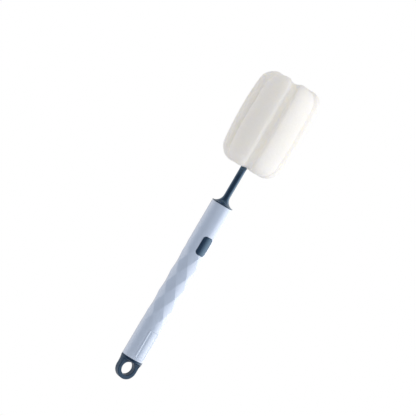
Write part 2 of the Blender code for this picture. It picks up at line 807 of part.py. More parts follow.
def sponge_radius(share):
    """The sponge's outer radius at a share of its height: fullest above the middle."""
    if share < SPONGE_WIDEST:
        drop = SPONGE_R - SPONGE_FOOT_R
        away = (SPONGE_WIDEST - share) / SPONGE_WIDEST
    else:
        drop = SPONGE_R - SPONGE_HEAD_R
        away = (share - SPONGE_WIDEST) / (1 - SPONGE_WIDEST)
    return SPONGE_R - drop * away**2


def make_sponge_head():
    """The foam head: a lobed outline lofted up the head, rounded ends, and a bore that grips the core."""
    section = [
        (GROOVE_TURN + 2 * math.pi * n / LOBES + angle, r)
        for n in range(LOBES)
        for angle, r in lobe_section()
    ]
    end_steps = 4
    side_steps = 6

    def end_ring(k, radius):
        """The ring's radius and its drop from the end plane, k steps from the side towards the face."""
        turn = math.radians(90) * k / end_steps
        return radius - END_ROUND * (1 - math.cos(turn)), END_ROUND * (1 - math.sin(turn))

    def end_radius(r, k, widest):
        """A section point's radius k steps from the side towards an end face, to which the grooves run in."""
        shoulder = SPONGE_R - LOBE_CROWN
        share = max(0.0, (shoulder - r) / (shoulder - GROOVE_FLOOR_R))
        floor = GROOVE_FLOOR_R - (SPONGE_R - widest)
        return r - (SPONGE_R - widest) - (floor - GROOVE_END_R) * share * (k / end_steps) ** 2

    def face_drop(radius, limit):
        """How far an end face lies under its highest ring."""
        share = min(1.0, radius / limit)
        return END_DIMPLE * (1 - share) ** 2 if share < 1 else 0.0

    # rings of (limit radius, height) from the foot's middle up the side to the top's middle
    foot_limit = sponge_radius(0) - END_ROUND
    head_limit = sponge_radius(1) - END_ROUND
    inner = (0.3, 0.65)
    meridian = [("foot", end_steps, share * foot_limit, 0.0) for share in inner]
    for k in range(end_steps, -1, -1):
        meridian.append(("foot", k, *end_ring(k, sponge_radius(0))))
    for k in range(1, side_steps):
        z = END_ROUND + (SPONGE_LENGTH - 2 * END_ROUND) * k / side_steps
        meridian.append(("side", 0, sponge_radius(z / SPONGE_LENGTH), z))
    for k in range(end_steps + 1):
        meridian.append(("head", k, *end_ring(k, sponge_radius(1))))
    meridian += [("head", end_steps, share * head_limit, 0.0) for share in reversed(inner)]

    bm = bmesh.new()

    def ring(kind, k, limit, height):
        made = []
        for turn, r in section:
            if kind == "side":
                radius = r - (SPONGE_R - limit)
                z = SPONGE_FOOT_Z + height
            else:
                radius = min(end_radius(r, k, sponge_radius(0 if kind == "foot" else 1)), limit)
                full = foot_limit if kind == "foot" else head_limit
                rise = height + face_drop(radius, full)
                z = SPONGE_FOOT_Z + rise if kind == "foot" else SPONGE_TOP_Z - rise
            made.append(bm.verts.new(ring_point(radius, turn, z)))
        return made

    rings = [ring(*step) for step in meridian]
    count = len(section)
    for lower, upper in zip(rings, rings[1:]):
        for k in range(count):
            n = (k + 1) % count
            bm.faces.new((lower[k], lower[n], upper[n], upper[k]))
    bm.faces.new(list(reversed(rings[0])))
    bm.faces.new(rings[-1])
    bmesh.ops.remove_doubles(bm, verts=bm.verts, dist=0.00002)
    bmesh.ops.dissolve_degenerate(bm, edges=bm.edges, dist=0.00001)
    sponge = add_mesh("sponge_head", bm, material=FOAM)

    core_top = SPONGE_FOOT_Z + CORE_BURIED
    bore = [(0, core_top + GAP), (0.55 * CORE_R + GAP, core_top + GAP - 0.15 * CORE_R)]
    bore.append((CORE_R + GAP, core_top - CORE_R))
    for n in range(BARBS):
        tip = core_top - 2 * CORE_R - n * BARB_PITCH
        bore += [
            (CORE_R + GAP, tip + GAP),
            (BARB_R + GAP, tip - BARB_HEIGHT + GAP),
            (BARB_R + GAP, tip - BARB_HEIGHT - 2 * GAP),
            (CORE_R + GAP, tip - BARB_HEIGHT - 3 * GAP),
        ]
    bore += [
        (CORE_R + GAP, SPONGE_FOOT_Z + ROD_R + 4 * GAP),
        (ROD_R + GAP, SPONGE_FOOT_Z + ROD_R + GAP),
        (ROD_R + GAP, SPONGE_FOOT_Z - OVERCUT),
        (0, SPONGE_FOOT_Z - OVERCUT),
    ]
    cutter = turned("core_bore", bore, ROD_SIDES, CUTTERS)
    combine(sponge, cutter, "DIFFERENCE")
    return sponge


make_handle_tube()
make_handle_socket()
make_release_button()
make_button_spring()
make_tail_cap()
make_brush_stem()
make_latch_spring()
make_sponge_head()
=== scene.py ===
# %% [markdown]
# # A bottle brush
# The brush has a white foam head with six lobes, a dark blue stem that plugs into the handle, a pale
# blue handle with a zone of diamond facets, a release button, and a cap with a hanging loop.
# The CAD model is the frame: it fixes every place and every movement. The pieces in this lesson are
# modelled around it, and each one rides on the body that carries it.

# %% Load the frame
import math

import bmesh
import bpy
from mathutils import Matrix, Vector


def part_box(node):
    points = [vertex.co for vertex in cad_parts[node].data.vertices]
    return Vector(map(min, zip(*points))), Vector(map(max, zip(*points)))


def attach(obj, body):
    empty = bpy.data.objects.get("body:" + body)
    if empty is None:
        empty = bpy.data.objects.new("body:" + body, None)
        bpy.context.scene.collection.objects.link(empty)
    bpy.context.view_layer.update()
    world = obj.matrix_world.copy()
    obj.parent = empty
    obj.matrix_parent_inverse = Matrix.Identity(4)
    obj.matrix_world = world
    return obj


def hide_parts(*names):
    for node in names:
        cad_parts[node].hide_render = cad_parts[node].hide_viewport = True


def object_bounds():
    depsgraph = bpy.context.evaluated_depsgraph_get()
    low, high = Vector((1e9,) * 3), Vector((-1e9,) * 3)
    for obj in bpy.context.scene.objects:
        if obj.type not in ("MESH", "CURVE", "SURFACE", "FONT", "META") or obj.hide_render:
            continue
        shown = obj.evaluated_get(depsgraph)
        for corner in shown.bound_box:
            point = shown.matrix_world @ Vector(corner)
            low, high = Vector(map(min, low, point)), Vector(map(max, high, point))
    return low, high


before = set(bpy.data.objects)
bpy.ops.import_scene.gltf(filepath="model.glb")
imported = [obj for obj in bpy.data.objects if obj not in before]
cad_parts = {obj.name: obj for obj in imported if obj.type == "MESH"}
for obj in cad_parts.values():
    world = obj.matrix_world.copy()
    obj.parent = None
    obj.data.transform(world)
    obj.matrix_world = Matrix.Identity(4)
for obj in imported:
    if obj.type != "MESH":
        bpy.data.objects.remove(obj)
cad_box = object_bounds()
MM = 0.001
TOUCH = 0.01 * MM  # two places that are nearer than this count as one


def in_mm(corner):
    """A corner in millimetres, for printing."""
    return [round(value / MM, 2) for value in corner]


print("CAD box:", in_mm(cad_box[0]), in_mm(cad_box[1]))

# %% [markdown]
# Two helpers stand in for the mouse. `pick` selects one piece and nothing else, because an operator
# acts on all that is selected. `pick_parts` selects faces, edges or points by a test on their place.

# %% Helpers for selecting
def pick(piece):
    """Selects one piece and makes it the active one."""
    bpy.ops.object.select_all(action="DESELECT")
    piece.select_set(True)
    bpy.context.view_layer.objects.active = piece


def pick_parts(piece, kind, test):
    """In edit mode, selects the faces, edges or verts whose middle and normal pass the test."""
    bpy.ops.mesh.select_mode(type={"faces": "FACE", "edges": "EDGE", "verts": "VERT"}[kind])
    bpy.ops.mesh.select_all(action="DESELECT")
    bm = bmesh.from_edit_mesh(piece.data)
    count = 0
    for part in getattr(bm, kind):
        if kind == "verts":
            middle, normal = part.co, part.normal
        elif kind == "edges":
            middle = (part.verts[0].co + part.verts[1].co) / 2
            normal = (part.verts[1].co - part.verts[0].co).normalized()
        else:
            middle, normal = part.calc_center_median(), part.normal
        if test(middle, normal):
            part.select_set(True)
            count += 1
    bm.select_flush_mode()
    bmesh.update_edit_mesh(piece.data)
    return count


def settle(piece, body, material, smooth=30):
    """Ends a piece: its place goes into its mesh, and it gets its shading, finish and body."""
    pick(piece)
    bpy.ops.object.transform_apply(location=True, rotation=True, scale=True)
    bpy.ops.object.shade_smooth_by_angle(angle=math.radians(smooth))
    piece.data.materials.clear()
    piece.data.materials.append(material)
    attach(piece, body)
    print(f"{piece.name}: {len(piece.data.polygons)} faces, rides on {body}")


def apply_modifier(piece, kind, **settings):
    """Adds a modifier, sets it, and applies it."""
    pick(piece)
    bpy.ops.object.modifier_add(type=kind)
    modifier = piece.modifiers[-1]
    for name, value in settings.items():
        setattr(modifier, name, value)
    bpy.ops.object.modifier_apply(modifier=modifier.name)


def cut(piece, cutter, operation="DIFFERENCE"):
    """A Boolean with a cutter, which is then deleted."""
    apply_modifier(piece, "BOOLEAN", operation=operation, object=cutter, solver="EXACT")
    bpy.data.objects.remove(cutter)


# %% [markdown]
# Round pieces are turned as on a lathe: half of the outline is drawn in the XZ plane, and Spin
# carries it round the Z axis. Where the outline starts or ends on the axis, all points of the ring
# fall together, so Merge by Distance leaves a clean pole. Flat pieces start as one filled outline,
# which is extruded into a slab, and plain ones start as a block.

# %% Helpers for turned pieces and outlines
def lathe(name, outline, steps=96):
    """Turns an outline of (radius, height) points round the Z axis."""
    mesh = bpy.data.meshes.new(name)
    points = [(r, 0, z) for r, z in outline]
    mesh.from_pydata(points, [(k, k + 1) for k in range(len(points) - 1)], [])
    piece = bpy.data.objects.new(name, mesh)
    bpy.context.scene.collection.objects.link(piece)
    pick(piece)
    bpy.ops.object.mode_set(mode="EDIT")
    bpy.ops.mesh.select_all(action="SELECT")
    bpy.ops.mesh.spin(steps=steps, angle=math.tau, center=(0, 0, 0), axis=(0, 0, 1))
    bpy.ops.mesh.select_all(action="SELECT")
    bpy.ops.mesh.remove_doubles(threshold=TOUCH)
    bpy.ops.mesh.normals_make_consistent(inside=False)
    bpy.ops.object.mode_set(mode="OBJECT")
    return piece


def slab(name, points, depth):
    """Fills an outline and extrudes it by a vector into a closed slab."""
    mesh = bpy.data.meshes.new(name)
    mesh.from_pydata(points, [], [range(len(points))])
    piece = bpy.data.objects.new(name, mesh)
    bpy.context.scene.collection.objects.link(piece)
    pick(piece)
    bpy.ops.object.mode_set(mode="EDIT")
    bpy.ops.mesh.select_all(action="SELECT")
    bpy.ops.mesh.extrude_region_move(TRANSFORM_OT_translate={"value": depth})
    bpy.ops.mesh.select_all(action="SELECT")
    bpy.ops.mesh.normals_make_consistent(inside=False)
    bpy.ops.object.mode_set(mode="OBJECT")
    return piece


def arc(centre, radius, start, end, steps):
    """Points on an arc in an outline. Angles are in degrees, from the outline's +radius direction."""
    turns = (math.radians(start + (end - start) * k / steps) for k in range(steps + 1))
    return [(centre[0] + radius * math.cos(t), centre[1] + radius * math.sin(t)) for t in turns]


def round_rims(piece, test, width, segments=3):
    """Bevels the edges that pass the test."""
    pick(piece)
    bpy.ops.object.mode_set(mode="EDIT")
    count = pick_parts(piece, "edges", test)
    bpy.ops.mesh.bevel(
        offset=width, segments=segments, profile=0.5, affect="EDGES", clamp_overlap=True
    )
    bpy.ops.object.mode_set(mode="OBJECT")
    print(f"{piece.name}: {count} edges rounded by {width / MM:.2f} mm")


def block(name, low, high, corner=0.0, steps=6):
    """A box between two corners. With corner set, its four edges along Y are rounded."""
    low, high = Vector(low), Vector(high)
    bpy.ops.object.select_all(action="DESELECT")
    bpy.ops.mesh.primitive_cube_add(size=1, location=(low + high) / 2, scale=high - low)
    piece = bpy.context.object
    piece.name = name
    bpy.ops.object.transform_apply(location=True, rotation=True, scale=True)
    if corner:
        bpy.ops.object.mode_set(mode="EDIT")
        pick_parts(piece, "edges", lambda middle, along: abs(along.y) > 0.9)
        bpy.ops.mesh.bevel(offset=corner, segments=steps, profile=0.5, affect="EDGES")
        bpy.ops.object.mode_set(mode="OBJECT")
    return piece


# %% [markdown]
# ## Places that the frame gives
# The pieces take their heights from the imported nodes, so they meet as the solids do. Sizes across the
# brush are written here once, in millimetres, as they were measured.

# %% Places and sizes
tube_low, tube_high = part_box("handle_tube")
stem_low, stem_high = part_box("brush_stem")
foam_low, foam_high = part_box("sponge_head")
button_low, button_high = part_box("release_button")
latch_low, latch_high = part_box("latch_spring")

GAP = 0.3 * MM  # between pieces that only touch on the real brush
PAST = 1.0 * MM  # how far a cutter reaches past what it cuts
HANDLE_TOP_R = 9.0 * MM
HANDLE_FOOT_R = 9.2 * MM
BORE_R = 7.4 * MM
LOWER_BORE_R = 7.0 * MM
WALL_STEP_Z = 106.55 * MM
SEAM = 0.06 * MM  # between the handle's foot and the cap's collar

HANDLE_TOP_Z = tube_high.z + GAP / 2
HANDLE_FOOT_Z = tube_low.z - GAP / 2
print("handle from", round(HANDLE_FOOT_Z / MM, 2), "to", round(HANDLE_TOP_Z / MM, 2), "mm")


def handle_radius(z):
    """The handle widens a little towards its foot."""
    share = (HANDLE_TOP_Z - z) / (HANDLE_TOP_Z - HANDLE_FOOT_Z)
    return HANDLE_TOP_R + (HANDLE_FOOT_R - HANDLE_TOP_R) * share


def round_point(radius, turn, z):
    """A point at an angle from the button's middle, positive to the right of someone facing it."""
    return Vector((radius * math.sin(turn), -radius * math.cos(turn), z))


# %% [markdown]
# ## The photograph's camera
# The photograph looks almost level at the brush, from 32 degrees to the left of the button, through a
# long lens. The brush leans 30 degrees in the picture. Here it stays upright and the camera rolls
# instead, so the model keeps its own frame.

# %% Camera
VIEW_TURN = math.radians(-32)
VIEW_RISE = math.radians(1.5)
LEAN = math.radians(30.39)
SCALE = 1.274 / MM  # pixels per metre at the brush's axis
IMAGE_WIDTH = 416
AIM_Z = 149.7 * MM
AIM_SIDE = -8.3 * MM  # how far the picture's middle lies beside the axis
CAMERA_DISTANCE = 2.0
FAR_END = 20  # metres that the camera sees

back = Vector(
    (
        math.sin(VIEW_TURN) * math.cos(VIEW_RISE),
        -math.cos(VIEW_TURN) * math.cos(VIEW_RISE),
        math.sin(VIEW_RISE),
    )
)
side = Vector((math.cos(VIEW_TURN), math.sin(VIEW_TURN), 0))
up = back.cross(side)
picture_right = side * math.cos(LEAN) + up * math.sin(LEAN)
picture_up = up * math.cos(LEAN) - side * math.sin(LEAN)
bpy.ops.object.select_all(action="DESELECT")
bpy.ops.object.camera_add()
camera = bpy.context.object
camera.name = "photo_camera"
aim = Vector((0, 0, AIM_Z)) + side * AIM_SIDE
turn = Matrix((picture_right, picture_up, back)).transposed().to_4x4()
camera.matrix_world = Matrix.Translation(aim + back * CAMERA_DISTANCE) @ turn
camera.data.lens = camera.data.sensor_width * CAMERA_DISTANCE * SCALE / IMAGE_WIDTH
camera.data.clip_end = FAR_END
bpy.context.scene.camera = camera
print("lens", round(camera.data.lens, 1), "mm")

# %% [markdown]
# ## Light
# The world gives most of the light. A tall soft lamp stands to the right of the brush, another behind
# it on the left, and one hangs above. The right one is faintly cool and the left one faintly warm, so
# the foam is a clean white in the light and a little pink in the shade. What the gloss mirrors comes
# from the world alone, so the lamps are kept out of it.

# %% Lights
def softbox(name, turn_degrees, rise_degrees, distance, size, power, colour=(1, 1, 1)):
    """An area light that stands round the handle's axis, at an angle to the camera, and faces it."""
    turn = VIEW_TURN + math.radians(turn_degrees)
    rise = math.radians(rise_degrees)
    away = Vector(
        (math.sin(turn) * math.cos(rise), -math.cos(turn) * math.cos(rise), math.sin(rise))
    )
    target = Vector((0, 0, (cad_box[0].z + cad_box[1].z) / 2))
    bpy.ops.object.select_all(action="DESELECT")
    bpy.ops.object.light_add(type="AREA", location=target + away * distance)
    lamp = bpy.context.object
    lamp.name = name
    lamp.rotation_euler = away.to_track_quat("Z", "Y").to_euler()
    lamp.data.shape = "RECTANGLE"
    lamp.data.size, lamp.data.size_y = size
    lamp.data.energy = power
    lamp.data.color = colour
    lamp.visible_glossy = False
    print(name, "of", power, "W at", turn_degrees, "degrees from the camera")


COOL_WHITE = (0.98, 1.0, 1.04)
WARM_WHITE = (1.0, 0.965, 0.96)
softbox("key_light", 80, 5, 0.9, (0.6, 0.8), 1.8, COOL_WHITE)
softbox("left_light", -107, 5, 1.0, (0.8, 1.0), 4.0, WARM_WHITE)
softbox("top_light", -15, 55, 1.0, (0.8, 0.8), 0.7)

# %% [markdown]
# The world stands for the white studio. For soft light it is brighter on the camera's right. For
# reflections it is bright to the right, weaker behind on the left, and dark on the camera's side, so
# the round pieces get bright edges and deep middles. The camera itself sees plain white.

# %% World
WORLD_LEVEL = 0.615
WORLD_SWING = 0.43  # how much brighter its bright side is, and darker its dark side
WORLD_BRIGHT_TURN = math.radians(78)  # from the camera round to the bright side
WORLD_COLOUR = (1.0, 0.975, 0.95, 1)
SHINE_FRONT = 0.06
SHINE_RIGHT_TURN, SHINE_RIGHT = math.radians(116), 2.3
SHINE_RIGHT_EDGE = 0.28  # cosine of the angle from its middle at which the bright side begins
SHINE_LEFT_TURN, SHINE_LEFT = math.radians(-128), 0.7
SHINE_LEFT_EDGE = 0.25


def level_direction(turn):
    """The level direction at an angle round from the camera, positive to the camera's right."""
    turn += VIEW_TURN
    return math.sin(turn), -math.cos(turn), 0.0


world = bpy.context.scene.world or bpy.data.worlds.new("studio")
bpy.context.scene.world = world
world.use_nodes = True
nodes, links = world.node_tree.nodes, world.node_tree.links
nodes.clear()
place = nodes.new("ShaderNodeTexCoord")


def sky_level(turn, start, end, dark, bright):
    """Brightness that rises towards one side, between two cosines of the angle to it."""
    facing = nodes.new("ShaderNodeVectorMath")
    facing.operation = "DOT_PRODUCT"
    facing.inputs[1].default_value = level_direction(turn)
    level = nodes.new("ShaderNodeMapRange")
    level.inputs["From Min"].default_value = start
    level.inputs["From Max"].default_value = end
    level.inputs["To Min"].default_value = dark
    level.inputs["To Max"].default_value = bright
    links.new(place.outputs["Generated"], facing.inputs[0])
    links.new(facing.outputs["Value"], level.inputs["Value"])
    return level.outputs["Result"]


soft = sky_level(WORLD_BRIGHT_TURN, -1, 1, WORLD_LEVEL - WORLD_SWING, WORLD_LEVEL + WORLD_SWING)
shine = nodes.new("ShaderNodeMath")
shine.operation = "ADD"
right_shine = sky_level(SHINE_RIGHT_TURN, SHINE_RIGHT_EDGE, 1, SHINE_FRONT, SHINE_RIGHT)
left_shine = sky_level(SHINE_LEFT_TURN, SHINE_LEFT_EDGE, 1, 0, SHINE_LEFT)
links.new(right_shine, shine.inputs[0])
links.new(left_shine, shine.inputs[1])
output = nodes.new("ShaderNodeOutputWorld")
room = nodes.new("ShaderNodeBackground")
room.inputs["Color"].default_value = WORLD_COLOUR
seen = nodes.new("ShaderNodeBackground")
seen.inputs["Color"].default_value = (1, 1, 1, 1)
seen.inputs["Strength"].default_value = 1.0
chosen = nodes.new("ShaderNodeMix")
rays = nodes.new("ShaderNodeLightPath")
mix = nodes.new("ShaderNodeMixShader")
links.new(rays.outputs["Is Glossy Ray"], chosen.inputs[0])
links.new(soft, chosen.inputs[2])
links.new(shine.outputs[0], chosen.inputs[3])
links.new(chosen.outputs[0], room.inputs["Strength"])
links.new(rays.outputs["Is Camera Ray"], mix.inputs[0])
links.new(room.outputs[0], mix.inputs[1])
links.new(seen.outputs[0], mix.inputs[2])
links.new(mix.outputs[0], output.inputs[0])
bpy.context.scene.view_settings.view_transform = "Standard"
print("the world has", len(nodes), "nodes")

# %% [markdown]
# The photograph has no shadow and no edge of a table. So the ground is a round white sheet that lies
# well below the picture. The camera sees it as plain white, and it still sends light back up.

# %% Ground
FLOOR_DROP = 250 * MM
GROUND_R = 0.7
bpy.ops.object.select_all(action="DESELECT")
bpy.ops.mesh.primitive_circle_add(
    vertices=96, radius=GROUND_R, fill_type="NGON", location=(0, 0, cad_box[0].z - FLOOR_DROP)
)
ground = bpy.context.object
ground.name = "ground"
paper = bpy.data.materials.new("white_paper")
paper.use_nodes = True
nodes, links = paper.node_tree.nodes, paper.node_tree.links
nodes.clear()
output = nodes.new("ShaderNodeOutputMaterial")
sheet = nodes.new("ShaderNodeBsdfDiffuse")
sheet.inputs["Color"].default_value = (0.9, 0.9, 0.9, 1)
glow = nodes.new("ShaderNodeEmission")
glow.inputs["Color"].default_value = (1, 1, 1, 1)
rays = nodes.new("ShaderNodeLightPath")
mix = nodes.new("ShaderNodeMixShader")
links.new(rays.outputs["Is Camera Ray"], mix.inputs[0])
links.new(sheet.outputs[0], mix.inputs[1])
links.new(glow.outputs[0], mix.inputs[2])
links.new(mix.outputs[0], output.inputs[0])
ground.data.materials.append(paper)
print("ground at", round(ground.location.z / MM, 1), "mm")

# %% [markdown]
# ## Plastic
# Moulded plastic isn't one flat colour. Its gloss changes softly from place to place, and a faint
# orange-peel texture breaks up the reflections. A noise with a long wavelength shifts the colour and
# the roughness a little, and one with a short wavelength makes the bump. The cap is a little more matte
# than the button and the stem. Its navy is also a little darker, which is painted shade for the weaker
# light at the brush's foot.

# %% A moulded plastic
def moulded_plastic(name, colour, other_colour, roughness, spread, grain, bump, **sockets):
    """A Principled plastic whose colour and roughness drift, with a fine bump.

    The shader's other inputs are given by name, with an underscore for each space.
    """
    made = bpy.data.materials.new(name)
    made.use_nodes = True
    nodes, links = made.node_tree.nodes, made.node_tree.links
    shader = nodes["Principled BSDF"]
    for socket, value in sockets.items():
        shader.inputs[socket.replace("_", " ")].default_value = value
    place = nodes.new("ShaderNodeTexCoord")
    drift = nodes.new("ShaderNodeTexNoise")
    drift.inputs["Scale"].default_value = 90
    drift.inputs["Detail"].default_value = 2
    links.new(place.outputs["Object"], drift.inputs["Vector"])
    tint = nodes.new("ShaderNodeMix")
    tint.data_type = "RGBA"
    tint.inputs[6].default_value = (*colour, 1)
    tint.inputs[7].default_value = (*other_colour, 1)
    links.new(drift.outputs["Fac"], tint.inputs[0])
    links.new(tint.outputs[2], shader.inputs["Base Color"])
    satin = nodes.new("ShaderNodeMapRange")
    satin.inputs["To Min"].default_value = roughness - spread
    satin.inputs["To Max"].default_value = roughness + spread
    links.new(drift.outputs["Fac"], satin.inputs["Value"])
    links.new(satin.outputs["Result"], shader.inputs["Roughness"])
    peel = nodes.new("ShaderNodeTexNoise")
    peel.inputs["Scale"].default_value = grain
    peel.inputs["Detail"].default_value = 3
    links.new(place.outputs["Object"], peel.inputs["Vector"])
    relief = nodes.new("ShaderNodeBump")
    relief.inputs["Strength"].default_value = bump
    relief.inputs["Distance"].default_value = 0.02 * MM
    links.new(peel.outputs["Fac"], relief.inputs["Height"])
    links.new(relief.outputs["Normal"], shader.inputs["Normal"])
    return made


HANDLE_FINISH = moulded_plastic(
    "pale_blue_plastic",
    (0.54, 0.66, 0.872),
    (0.57, 0.69, 0.902),
    0.36,
    0.03,
    1500,
    0.2,
    Coat_Weight=1.0,
    Coat_Roughness=0.25,
    Coat_IOR=2.0,
    Sheen_Weight=0.4,
)
NAVY_FINISH = moulded_plastic(
    "satin_navy_plastic",
    (0.010, 0.030, 0.074),
    (0.012, 0.034, 0.082),
    0.30,
    0.03,
    1800,
    0.2,
    IOR=1.8,
    Specular_IOR_Level=0.85,
    Specular_Tint=(0.5, 0.76, 1.0, 1.0),
)
# The cap's colours are the navy's made a little darker: painted shade for the weaker light at the
# brush's foot.
CAP_FINISH = moulded_plastic(
    "satin_navy_cap_plastic",
    (0.008, 0.024, 0.060),
    (0.010, 0.028, 0.068),
    0.34,
    0.03,
    1800,
    0.2,
    IOR=1.8,
    Specular_IOR_Level=0.45,
    Specular_Tint=(0.5, 0.76, 1.0, 1.0),
)
INNER_FINISH = moulded_plastic(
    "plain_inner_plastic", (0.58, 0.62, 0.66), (0.63, 0.66, 0.69), 0.5, 0.04, 1800, 0.3
)

# %% [markdown]
# ## Steel
# The two springs are bright steel. Rolled strip shows fine lines along its length, so the noise that
# sets its tone and roughness is stretched. The coil's wire is too thin for that and keeps it even.

# %% A drawn steel
def drawn_steel(name, stretch):
    """A bright metal with a fine noise, which a stretch turns into lines."""
    made = bpy.data.materials.new(name)
    made.use_nodes = True
    nodes, links = made.node_tree.nodes, made.node_tree.links
    shader = nodes["Principled BSDF"]
    shader.inputs["Metallic"].default_value = 1.0
    place = nodes.new("ShaderNodeTexCoord")
    scale = nodes.new("ShaderNodeMapping")
    scale.inputs["Scale"].default_value = stretch
    lines = nodes.new("ShaderNodeTexNoise")
    lines.inputs["Scale"].default_value = 900
    lines.inputs["Detail"].default_value = 4
    links.new(place.outputs["Object"], scale.inputs["Vector"])
    links.new(scale.outputs["Vector"], lines.inputs["Vector"])
    tone = nodes.new("ShaderNodeMix")
    tone.data_type = "RGBA"
    tone.inputs[6].default_value = (0.52, 0.53, 0.55, 1)
    tone.inputs[7].default_value = (0.66, 0.67, 0.69, 1)
    links.new(lines.outputs["Fac"], tone.inputs[0])
    links.new(tone.outputs[2], shader.inputs["Base Color"])
    gloss = nodes.new("ShaderNodeMapRange")
    gloss.inputs["To Min"].default_value = 0.22
    gloss.inputs["To Max"].default_value = 0.38
    links.new(lines.outputs["Fac"], gloss.inputs["Value"])
    links.new(gloss.outputs["Result"], shader.inputs["Roughness"])
    return made


STRIP_STEEL = drawn_steel("rolled_strip_steel", (4, 1, 0.15))
WIRE_STEEL = drawn_steel("drawn_wire_steel", (1, 1, 1))

# %% [markdown]
# ## Foam
# The head is a fine open-cell foam. From a step away the cells only show as a soft grain, so a cell
# pattern of less than a millimetre makes the bump. The same pattern darkens the pits of the cells a
# little, which is painted shade in the pores. A slow noise makes faint clouds of warmer white. Light
# goes deep into soft white foam and comes out again beside it, which lifts the shade in the grooves. So
# all of the foam's colour comes from subsurface scattering.

# %% A fine foam
def fine_foam(name):
    """White open-cell foam: soft grain, painted shade in its pores, faint clouds and deep scattering.
    """
    made = bpy.data.materials.new(name)
    made.use_nodes = True
    nodes, links = made.node_tree.nodes, made.node_tree.links
    shader = nodes["Principled BSDF"]
    shader.inputs["Roughness"].default_value = 0.95
    shader.inputs["Specular IOR Level"].default_value = 0.15
    shader.inputs["Subsurface Weight"].default_value = 1.0
    shader.inputs["Subsurface Radius"].default_value = (1.0, 0.95, 0.8)
    shader.inputs["Subsurface Scale"].default_value = 20 * MM
    place = nodes.new("ShaderNodeTexCoord")
    clouds = nodes.new("ShaderNodeTexNoise")
    clouds.inputs["Scale"].default_value = 70
    clouds.inputs["Detail"].default_value = 4
    links.new(place.outputs["Object"], clouds.inputs["Vector"])
    cells = nodes.new("ShaderNodeTexVoronoi")
    cells.inputs["Scale"].default_value = 1300
    links.new(place.outputs["Object"], cells.inputs["Vector"])
    tone = nodes.new("ShaderNodeMix")
    tone.data_type = "RGBA"
    tone.inputs[6].default_value = (0.95, 0.922, 0.886, 1)
    tone.inputs[7].default_value = (0.975, 0.955, 0.932, 1)
    links.new(clouds.outputs["Fac"], tone.inputs[0])
    # The pits of the cells, where the bump sinks, are darkened by up to 3 percent: painted shade in the
    # pores.
    pore_shade = nodes.new("ShaderNodeMapRange")
    pore_shade.inputs["From Max"].default_value = 0.7
    pore_shade.inputs["To Min"].default_value = 0.97
    pore_shade.inputs["To Max"].default_value = 1.0
    links.new(cells.outputs["Distance"], pore_shade.inputs["Value"])
    darken = nodes.new("ShaderNodeVectorMath")
    darken.operation = "SCALE"
    links.new(tone.outputs[2], darken.inputs[0])
    links.new(pore_shade.outputs["Result"], darken.inputs["Scale"])
    links.new(darken.outputs[0], shader.inputs["Base Color"])
    relief = nodes.new("ShaderNodeBump")
    relief.inputs["Strength"].default_value = 0.55
    relief.inputs["Distance"].default_value = 0.12 * MM
    links.new(cells.outputs["Distance"], relief.inputs["Height"])
    links.new(relief.outputs["Normal"], shader.inputs["Normal"])
    return made


FOAM_FINISH = fine_foam("soft_white_foam")

# %% [markdown]
# ## The handle
# The grip is a tube whose middle is cut into diamonds. Each diamond has four points on the tube's own
# radius, and between them the skin is a ruled patch, so the edges are straight and the faces are
# softly hollow. It could be carved from a cylinder, but it is easier to start from one with enough
# columns and rows, draw the diamonds' edges across its faces, and then move every point inwards by a
# formula. The first and last rows fade out into the round tube.

# %% The facetted zone
FACETS_BELOW_TOP = 37.2 * MM
FACET_ROW = 9.1 * MM
FACET_ROWS = 8
FACETS_ROUND = 6
FACET_TURN = math.radians(4.5)
CELLS = 10  # columns or rows of faces in half a diamond

half_turn = math.pi / FACETS_ROUND
columns = 2 * FACETS_ROUND * CELLS
rows = FACET_ROWS * CELLS
zone_top = HANDLE_TOP_Z - FACETS_BELOW_TOP
zone_foot = zone_top - FACET_ROWS * FACET_ROW


def facet_point(across, down):
    """A point of the facetted zone: across counts half diamonds round it, and down counts rows."""
    def corner(u, v):
        """A point where diamonds meet."""
        z = zone_top - (u + v) * FACET_ROW
        return round_point(handle_radius(z), FACET_TURN + (u - v + 1) * half_turn, z)

    u, v = (across + down) / 2, (down - across) / 2
    u0, v0 = math.floor(u + 1e-9), math.floor(v + 1e-9)
    a, b = u - u0, v - v0
    patch = corner(u0, v0) * (1 - a) * (1 - b) + corner(u0 + 1, v0) * a * (1 - b)
    patch += corner(u0, v0 + 1) * (1 - a) * b + corner(u0 + 1, v0 + 1) * a * b
    z = zone_top - down * FACET_ROW
    plain = round_point(handle_radius(z), FACET_TURN + (across + 1) * half_turn, z)
    return plain.lerp(patch, max(0.0, min(1.0, down, FACET_ROWS - down)))


bpy.ops.object.select_all(action="DESELECT")
bpy.ops.mesh.primitive_cylinder_add(
    vertices=columns,
    radius=HANDLE_TOP_R,
    depth=zone_top - zone_foot,
    end_fill_type="NOTHING",
    location=(0, 0, (zone_top + zone_foot) / 2),
)
shell = bpy.context.object
shell.name = "handle_shell"
bpy.ops.object.transform_apply(location=True, rotation=True, scale=True)
bpy.ops.object.mode_set(mode="EDIT")
pick_parts(shell, "edges", lambda middle, along: abs(along.z) > 0.9)
bpy.ops.mesh.subdivide(number_cuts=rows - 1)

bm = bmesh.from_edit_mesh(shell.data)
step_turn = half_turn / CELLS
step_down = FACET_ROW / CELLS


def cell_of(vert):
    """The column and row of a point of the plain cylinder."""
    turn = math.atan2(vert.co.x, -vert.co.y) - math.radians(90) % step_turn
    return round(turn / step_turn) % columns, round((zone_top - vert.co.z) / step_down)


